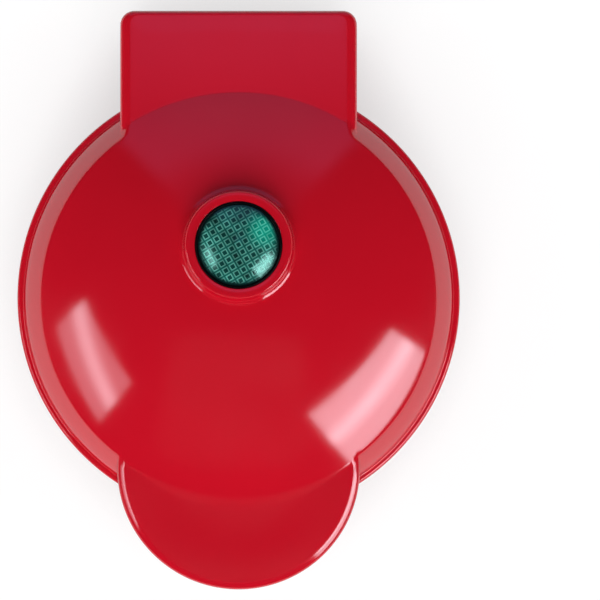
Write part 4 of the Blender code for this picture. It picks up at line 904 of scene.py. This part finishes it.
def indicator(glass, rubber):
    """Make the domed lens and the black ring round it."""
    centre = (0, LENS_OFFSET)
    top = PARTING_HEIGHT + COLLAR_TOP
    crest = top + LENS_RING_PROUD - CLEARANCE + LENS_RISE
    seat = top - COLLAR_LIP
    profile = [(0, seat), (LENS_RADIUS, seat)]
    bulge = (LENS_RADIUS**2 + LENS_RISE**2) / (2 * LENS_RISE)
    for angle in spread(math.asin(LENS_RADIUS / bulge), 0, 40):
        profile.append((bulge * math.sin(angle), crest - bulge * (1 - math.cos(angle))))
    lens = finish_mesh("lens_dome", turn(profile, LENS_STEPS, centre), glass, "lid")
    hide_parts("indicator_lens")
    inner = LENS_RING_RADIUS - LENS_RING_WALL - CLEARANCE / 2
    crown = LENS_RING_WALL / 2
    middle = (inner + LENS_RING_RADIUS) / 2
    width = (LENS_RING_RADIUS - inner) / 2
    profile = [(LENS_RING_RADIUS, seat)]
    for degrees in spread(0, 180, 12):
        c, s = unit(degrees)
        profile.append((middle + width * c, top + LENS_RING_PROUD - crown + crown * s))
    profile.append((inner, seat))
    ring = finish_mesh("lens_seal", turn(profile, LENS_STEPS, centre), rubber, "lid")
    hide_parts("lens_ring")


# Plates

def add_stud(built, x, y, root, top):
    """Add a tapered square stud with rounded corners and a rounded upper edge."""
    half, draft = STUD_WIDTH / 2, STUD_DRAFT
    sections = [
        (root, half + draft / 2, 2 * draft),
        (root - draft / 3, half + draft / 8, 2 * draft),
        (root - draft, half, 2 * draft),
    ]
    for up, inward, corner in STUD_EDGE:
        sections.append((top + draft * up, half - draft - draft * inward, corner * draft))
    rows = []
    for height, size, corner in sections:
        row = []
        for sx, sy, first in ((1, 1, 0), (-1, 1, 90), (-1, -1, 180), (1, -1, 270)):
            centre = (x + sx * (size - corner), y + sy * (size - corner))
            row += level(arc_points(corner, first, first + 90, 5, centre), height)
        rows.append(row)
    made = add_rows(built, rows, closed=True)
    built.faces.new(made[-1])
    built.faces.new(made[0])


def stud_places():
    """Return the studs' centres, and whether each lies wholly in the round field."""
    count = math.ceil(STUD_FIELD_RADIUS / STUD_PITCH)
    places = [STUD_PITCH * (index + 1 / 2) for index in range(-count, count)]
    half = STUD_WIDTH / 2
    found = []
    for x in places:
        for y in places:
            near = math.hypot(abs(x) - half, abs(y) - half)
            if near < STUD_FIELD_RADIUS - STUD_DRAFT:
                whole = math.hypot(abs(x) + half, abs(y) + half) < STUD_FIELD_RADIUS
                found.append((x, y, whole))
    return found


def cooking_plate(name, body, surface):
    """Make a cooking plate: a tray with a rounded rim and a grid of rounded studs."""
    floor = HALF_GAP + TRAY_DEPTH
    back = floor + PLATE_FLANGE
    top = floor - STUD_HEIGHT
    edge = TRAY_EDGE
    foot = TRAY_RADIUS - TRAY_DRAFT
    profile = [(0, back), (PLATE_RADIUS - 3 * edge, back), (PLATE_RADIUS, HALF_GAP + PLATE_FLANGE)]
    profile += arc_points(edge / 2, 0, -90, 4, (PLATE_RADIUS - edge / 2, HALF_GAP + edge / 2))
    profile += arc_points(edge, 270, 180, 6, (TRAY_RADIUS + edge, HALF_GAP + edge))
    profile.append((foot, floor - 2 * edge))
    profile += arc_points(2 * edge, 0, 90, 6, (foot - 2 * edge, floor - 2 * edge))[1:]
    tray = turned([*profile, (0, floor)], PLATE_STEPS)
    pieces = []
    for whole in (True, False):
        built = bmesh.new()
        for x, y, is_whole in stud_places():
            if is_whole == whole:
                add_stud(built, x, y, floor + CLEARANCE, top)
        pieces.append(solid_from(built))
    low = top - OVERRUN
    field = [(0, low), (STUD_FIELD_RADIUS - STUD_DRAFT, low), (STUD_FIELD_RADIUS, back), (0, back)]
    combine(pieces[1], "INTERSECT", [turned(field, PLATE_STEPS)])
    combine(tray, "UNION", pieces)
    made = settle(tray, name + "_casting", surface, body, PLATE_SMOOTH_ANGLE)
    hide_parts(name)


# Small pieces

def lid_screw(name, surface):
    """Make a pan-head screw with a cross recess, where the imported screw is."""
    low, high, centre, radius = packed_round(name)
    length = high[2] - low[2]
    shank = radius * SCREW_SHANK
    head = radius * SCREW_HEAD
    profile = [(0, length), (shank, length), (shank, head), (radius, head)]
    for degrees in spread(0, 90, 8):
        c, s = unit(degrees)
        profile.append((radius - head * (1 - c) * SCREW_CROWN, head * (1 - s)))
    screw = turned([*profile, (0, 0)], SCREW_STEPS)
    arm, wide, deep = radius * CROSS_ARM, radius * CROSS_WIDTH, head * CROSS_DEPTH
    for x, y in ((arm, wide), (wide, arm)):
        combine(screw, "DIFFERENCE", [block((-x, -y, -head), (x, y, deep))])
    made = settle(screw, name + "_cross", surface, "lid", place=(*centre, low[2]))
    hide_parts(name)


def foot(name, surface):
    """Make a rubber foot with rounded edges and a shallow ring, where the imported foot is."""
    low, high, centre, radius = packed_round(name)
    edge = radius / 8
    dish = low[2] + edge / 2
    profile = [(0, dish), (radius * FOOT_RING[0], dish), (radius * FOOT_RING[1], low[2])]
    profile += arc_points(edge, 270, 360, 6, (radius - edge, low[2] + edge))
    profile += [(radius, high[2]), (0, high[2])]
    made = finish_mesh(name + "_pad", turn(profile, ROUND_STEPS, centre), surface, "base")
    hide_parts(name)


def gland(surface):
    """Make the rubber bush in the rear wall, with a rounded collar outside."""
    low, high, _, outer = packed_round("cord_gland")
    length = high[1] - low[1]
    bore = outer * GLAND_BORE
    neck = outer * GLAND_NECK
    edge = length / 12
    profile = [(bore, 0), (outer - edge, 0), (outer, edge)]
    profile += [(outer, length * GLAND_COLLAR[0]), (neck, length * GLAND_COLLAR[1])]
    profile += [(neck, length - edge), (neck - edge, length)]
    profile += [(bore + edge, length), (bore, length - edge), (bore, 0)]
    built = turn(profile, ROUND_STEPS)
    bmesh.ops.rotate(built, verts=built.verts, matrix=Matrix.Rotation(math.radians(-90), 3, "X"))
    bmesh.ops.translate(built, verts=built.verts, vec=(0, low[1], (low[2] + high[2]) / 2))
    made = finish_mesh("cord_bush", built, surface, "base")
    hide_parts("cord_gland")


# Materials

class Graph:
    """Adds nodes to a node tree.

    An input is another node's output or a plain value. A colour may be one number for a grey.
    """

    def __init__(self, tree):
        self.nodes, self.links = tree.nodes, tree.links

    def fill(self, node, inputs):
        """Link or set a node's inputs, given by name in a dictionary or in order in a tuple."""
        for key, value in inputs.items() if isinstance(inputs, dict) else enumerate(inputs):
            socket = node.inputs[key]
            if isinstance(value, bpy.types.NodeSocket):
                self.links.new(value, socket)
            elif socket.type == "RGBA":
                shades = value if isinstance(value, tuple) else (value, value, value)
                socket.default_value = (*shades, 1)
            else:
                socket.default_value = value

    def add(self, kind, inputs=(), **settings):
        """Add a node with its settings and inputs, and return its outputs."""
        node = self.nodes.new("ShaderNode" + kind)
        for name, value in settings.items():
            setattr(node, name, value)
        self.fill(node, inputs)
        return node.outputs

    def maths(self, operation, *values):
        """Return a sum, product or other operation on numbers."""
        return self.add("Math", values, operation=operation)["Value"]

    def product(self, first, *others):
        """Return numbers multiplied, in their order."""
        for other in others:
            first = self.maths("MULTIPLY", first, other)
        return first

    def ramp(self, value, span, levels=(0.0, 1.0), kind="SMOOTHSTEP"):
        """Return levels that follow a value over a span, by default in a soft step."""
        inputs = dict(zip(("From Min", "From Max", "To Min", "To Max"), (*span, *levels)))
        inputs["Value"] = value
        return self.add("MapRange", inputs, interpolation_type=kind)["Result"]

    def mix(self, factor, first, second, kind="MIX"):
        """Return a mix of two colours."""
        inputs = {"Factor": factor, "A": first, "B": second}
        return self.add("Mix", inputs, data_type="RGBA", blend_type=kind)["Result"]

    def noise(self, place, scale, detail):
        """Return a soft noise."""
        return self.add("TexNoise", {"Vector": place, "Scale": scale, "Detail": detail})["Fac"]

    def bump(self, height, strength, depth):
        """Return a surface's bumps."""
        inputs = {"Height": height, "Strength": strength, "Distance": depth}
        return self.add("Bump", inputs)["Normal"]


def new_surface(name):
    """Make a material, and return it with its graph and its shader."""
    made = bpy.data.materials.new(name)
    made.use_nodes = True
    graph = Graph(made.node_tree)
    return made, graph, graph.nodes["Principled BSDF"]


def node_surface(
    slot, look, first, second, blotch, rough, rough_span, grain, relief, metallic=0.0, specular=0.5
):
    """Make a surface with a colour between two shades, uneven gloss and a fine grain."""
    made, graph, shader = new_surface(slot + "_" + look)
    place = graph.add("TexCoord")["Object"]
    smear = graph.noise(place, blotch * SMEAR_SCALE, 4)
    levels = (rough - rough_span, rough + rough_span)
    graph.fill(shader, {
        "Base Color": graph.mix(graph.noise(place, blotch, 3), first, second),
        "Roughness": graph.ramp(smear, NOISE_SPAN, levels, "LINEAR"),
        "Normal": graph.bump(graph.noise(place, grain, 2), 1.0, relief),
        "Metallic": metallic,
        "Specular IOR Level": specular,
    })
    return made


def lens_surface():
    """Make the green lens: square cells with pale outlines, dark middles and dark joints, with a
    painted glow at one spot and painted shade towards its edge.
    """
    made, graph, shader = new_surface("green_lens_cells")
    maths, ramp = graph.maths, graph.ramp
    place = graph.add("TexCoord")["Object"]
    shift = {"Vector": place, "Location": (0, -LENS_OFFSET, 0)}
    middle = graph.add("Mapping", shift)["Vector"]
    turn_and_size = {
        "Vector": middle,
        "Rotation": (0, 0, math.radians(-LENS_TURN)),
        "Scale": (1 / LENS_PITCH, 1 / LENS_PITCH, 0),
    }
    split = graph.add("SeparateXYZ", {"Vector": graph.add("Mapping", turn_and_size)["Vector"]})
    cell = [maths("ADD", split[axis], LENS_CELL_SHIFT) for axis in ("X", "Y")]
    sides = [maths("ABSOLUTE", maths("SUBTRACT", maths("FRACT", value), 0.5)) for value in cell]
    off = maths("MAXIMUM", *sides)
    stops = graph.nodes.new("ShaderNodeValToRGB")
    elements = stops.color_ramp.elements
    while len(elements) < len(LENS_STOPS):
        elements.new(0.5)
    for element, (position, colour) in zip(elements, LENS_STOPS):
        element.position = position
        element.color = (*colour, 1)
    graph.fill(stops, {"Fac": graph.product(off, 2.0)})

    number = graph.add("CombineXYZ", [maths("FLOOR", value) for value in cell])["Vector"]
    chance = graph.add("TexWhiteNoise", {"Vector": number})["Value"]
    cloud = graph.noise(place, LENS_CLOUD, 2)
    clouded = ramp(cloud, NOISE_SPAN, LENS_CLOUD_SHADES)
    shade = maths("ADD", ramp(chance, (0, 1), LENS_CELL_SHADES), clouded)
    shown = graph.mix(1.0, stops.outputs["Color"], shade, "MULTIPLY")

    flat = graph.add("VectorMath", (middle, (1, 1, 0)), operation="MULTIPLY")["Vector"]
    # A painted glow: brighter green added round one spot of the lens
    painted_glow_place = (*LENS_PAINTED_GLOW_PLACE, 0)
    painted_glow_distance = graph.add("VectorMath", (flat, painted_glow_place), operation="DISTANCE")["Value"]
    shown = graph.mix(ramp(painted_glow_distance, LENS_PAINTED_GLOW_SPAN, (1, 0)), shown, LENS_PAINTED_GLOW, "ADD")
    # Painted shade: the colour darkens towards the lens's edge
    out = graph.add("VectorMath", (flat,), operation="LENGTH")["Value"]
    rim = ramp(out, [LENS_RADIUS * share for share in LENS_RIM_SHADE_SHARES])
    graph.fill(shader, {
        "Base Color": graph.mix(rim, shown, LENS_RIM_PAINTED_SHADE),
        "Roughness": ramp(cloud, NOISE_SPAN, LENS_ROUGHNESS),
        "Normal": graph.bump(ramp(off, LENS_BUMP_SPAN), LENS_BUMP, LENS_BUMP_DEPTH),
        "Specular IOR Level": LENS_SPECULAR,
        "Specular Tint": LENS_TINT,
    })
    return made


def make_surfaces():
    """Return the surfaces by the record's slot names, with black_ring for the lens seal."""
    surfaces = {slot: node_surface(slot, *finish) for slot, finish in FINISHES.items()}
    surfaces["green_lens"] = lens_surface()
    return surfaces


def dress_nodes(surfaces):
    """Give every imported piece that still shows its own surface, by its material slot."""
    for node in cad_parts.values():
        for slot in node.material_slots:
            name = slot.material.name.split(".")[0] if slot.material else ""
            slot.material = surfaces.get(name, surfaces["steel"])


# Stage

def area_light(name, size, watts, direction, distance, glossy=False):
    """Add a light that faces the object from (zenith, azimuth), for gloss or for the rest."""
    light = bpy.data.lights.new(name, "AREA")
    light.shape = "RECTANGLE"
    light.size, light.size_y = size
    light.energy = watts
    made = add_object(name, light)
    (c, s), (east, north) = (unit(value) for value in direction)
    way = Vector((s * east, s * north, c))
    made.location = Vector((0, 0, PARTING_HEIGHT)) + way * distance
    made.rotation_euler = way.to_track_quat("Z", "Y").to_euler()
    made.visible_camera = False
    made.visible_glossy = glossy
    made.visible_diffuse = not glossy
    return light


def softbox(name, size, radiance, direction, corners, streak, gain):
    """Add a softbox whose diffuser is a soft-edged four-cornered patch with a streak.

    Corners and the streak's two ends are in metres from the middle, across and up.
    """
    watts = radiance * math.pi * size[0] * size[1]
    light = area_light(name, size, watts, direction, SOFTBOX_DISTANCE, glossy=True)
    light.color = SOFTBOX_COLOUR
    light.use_nodes = True
    graph = Graph(light.node_tree)
    place = graph.add("NewGeometry")["Parametric"]
    split = graph.add("SeparateXYZ", {"Vector": place})

    def side(start, end, span):
        """Return a soft step across the line from start to end."""
        dx, dy = end[0] - start[0], end[1] - start[1]
        length = math.hypot(dx, dy)
        wide, high = -dy / length * size[0], dx / length * size[1]
        offset = (dy * start[0] - dx * start[1]) / length - wide / 2 - high / 2
        part = graph.maths("MULTIPLY_ADD", split["X"], wide, offset)
        return graph.ramp(graph.maths("MULTIPLY_ADD", split["Y"], high, part), span)

    mask = 1.0
    for start, end in zip(corners, [*corners[1:], corners[0]]):
        mask = graph.product(side(start, end, (0.0, SOFTBOX_EDGE)), mask)
    flanks = [side(*streak, (width, 0.0)) for width in (-STREAK_WIDTH, STREAK_WIDTH)]
    bright = graph.maths("ADD", graph.product(*flanks, gain), 1.0)
    emission = next(node for node in graph.nodes if node.type == "EMISSION")
    graph.fill(emission, {"Strength": graph.product(mask, bright)})


def make_world():
    """White where seen directly or through glass, and a pale floor under a dim room in gloss."""
    world = bpy.data.worlds.new("studio")
    world.use_nodes = True
    graph = Graph(world.node_tree)
    maths, product, ramp = graph.maths, graph.product, graph.ramp
    path = graph.add("LightPath")
    way = graph.add("SeparateXYZ", {"Vector": graph.add("TexCoord")["Generated"]})
    room = ramp(way["Z"], ROOM_EDGE, (1.0, ROOM_DIM))
    flare = product(way["Y"], way["Y"], HAZE_FLARE)
    wide = ramp(maths("SUBTRACT", maths("ABSOLUTE", way["X"]), flare), HAZE_WIDTH, (1.0, 0.0))
    low = product(ramp(way["Z"], HAZE_FOOT), ramp(way["Z"], HAZE_FADE, HAZE_LEVELS))
    tall = maths("MAXIMUM", low, ramp(way["Z"], HAZE_TOP))
    haze = product(ramp(way["Y"], HAZE_REAR), wide, tall)
    seen = maths("MAXIMUM", path["Is Camera Ray"], path["Is Transmission Ray"])
    dull = product(path["Is Diffuse Ray"], 1.0 - WORLD_FILL)
    graph.fill(graph.nodes["Background"], {
        "Color": graph.mix(seen, graph.mix(haze, room, HAZE), 1),
        "Strength": maths("SUBTRACT", 1.0, dull),
    })
    bpy.context.scene.world = world


def make_floor():
    """Lay a plain pale floor, white to the camera, that keeps the object's shadow and has painted
    shade near it.
    """
    made, graph, shader = new_surface("floor_paper")
    place = graph.add("TexCoord")["Object"]
    path = graph.add("LightPath")
    seen = graph.maths("MAXIMUM", path["Is Camera Ray"], path["Is Glossy Ray"])
    paper = graph.mix(graph.noise(place, FLOOR_BLOTCH, 2), *FLOOR_SHADES)
    # Painted shade: the glow is dimmed where ambient occlusion finds the object close by, and near
    # the object's middle
    near = graph.add("AmbientOcclusion", {"Distance": PAINTED_SHADE_REACH})["AO"]
    painted_contact_shade = graph.ramp(near, PAINTED_SHADE_SPAN, (PAINTED_CONTACT_SHADE, 1.0), "LINEAR")
    out = graph.add("VectorMath", (place,), operation="LENGTH")["Value"]
    away = graph.ramp(out, FLOOR_PAINTED_SHADE_FADE, (FLOOR_PAINTED_SHADE_LIFT, 1.0))
    graph.fill(shader, {
        "Base Color": graph.mix(seen, paper, FLOOR_SHADE),
        "Roughness": FLOOR_ROUGHNESS,
        "Specular IOR Level": 0.0,
        "Emission Color": 1,
        "Emission Strength": graph.product(painted_contact_shade, away, seen),
    })
    built = bmesh.new()
    places = [FLOOR_REACH * (2 * step / FLOOR_STEPS - 1) for step in range(FLOOR_STEPS + 1)]
    add_rows(built, [[(x, y, FLOOR_HEIGHT) for x in places] for y in places])
    floor = finish_mesh("floor", built, made, None)


def make_lights():
    """Set a softbox at each side of the front, a large soft key over the front, and fills."""
    for row in SOFTBOXES:
        softbox(*row)
    for row in LAMPS:
        area_light(*row)


def make_camera():
    """Look straight down from over the body's axis, framed as the photograph is."""
    camera = bpy.data.cameras.new("camera")
    camera.sensor_width = CAMERA_SENSOR
    frame_width = PHOTO_PIXELS / CAMERA_SCALE
    camera.lens = camera.sensor_width * CAMERA_HEIGHT / frame_width
    camera.shift_x, camera.shift_y = (shift / PHOTO_PIXELS for shift in CAMERA_SHIFT)
    made = add_object("camera", camera)
    made.location = (0, 0, PARTING_HEIGHT + CAMERA_HEIGHT)
    bpy.context.scene.camera = made


def main():
    """Dress the part and light it."""
    surfaces = make_surfaces()
    dress_nodes(surfaces)
    lid_shell(surfaces["red_plastic"])
    base_shell(surfaces["red_plastic"])
    indicator(surfaces["green_lens"], surfaces["black_ring"])
    cooking_plate("lower_plate", "base", surfaces["plate_coating"])
    cooking_plate("upper_plate", "lid", surfaces["plate_coating"])
    for place in PLACES:
        lid_screw("lid_screw_" + place, surfaces["steel"])
        foot("foot_" + place, surfaces["black_rubber"])
    gland(surfaces["black_rubber"])
    make_world()
    make_floor()
    make_lights()
    make_camera()
    bpy.context.scene.view_settings.view_transform = "Standard"


main()
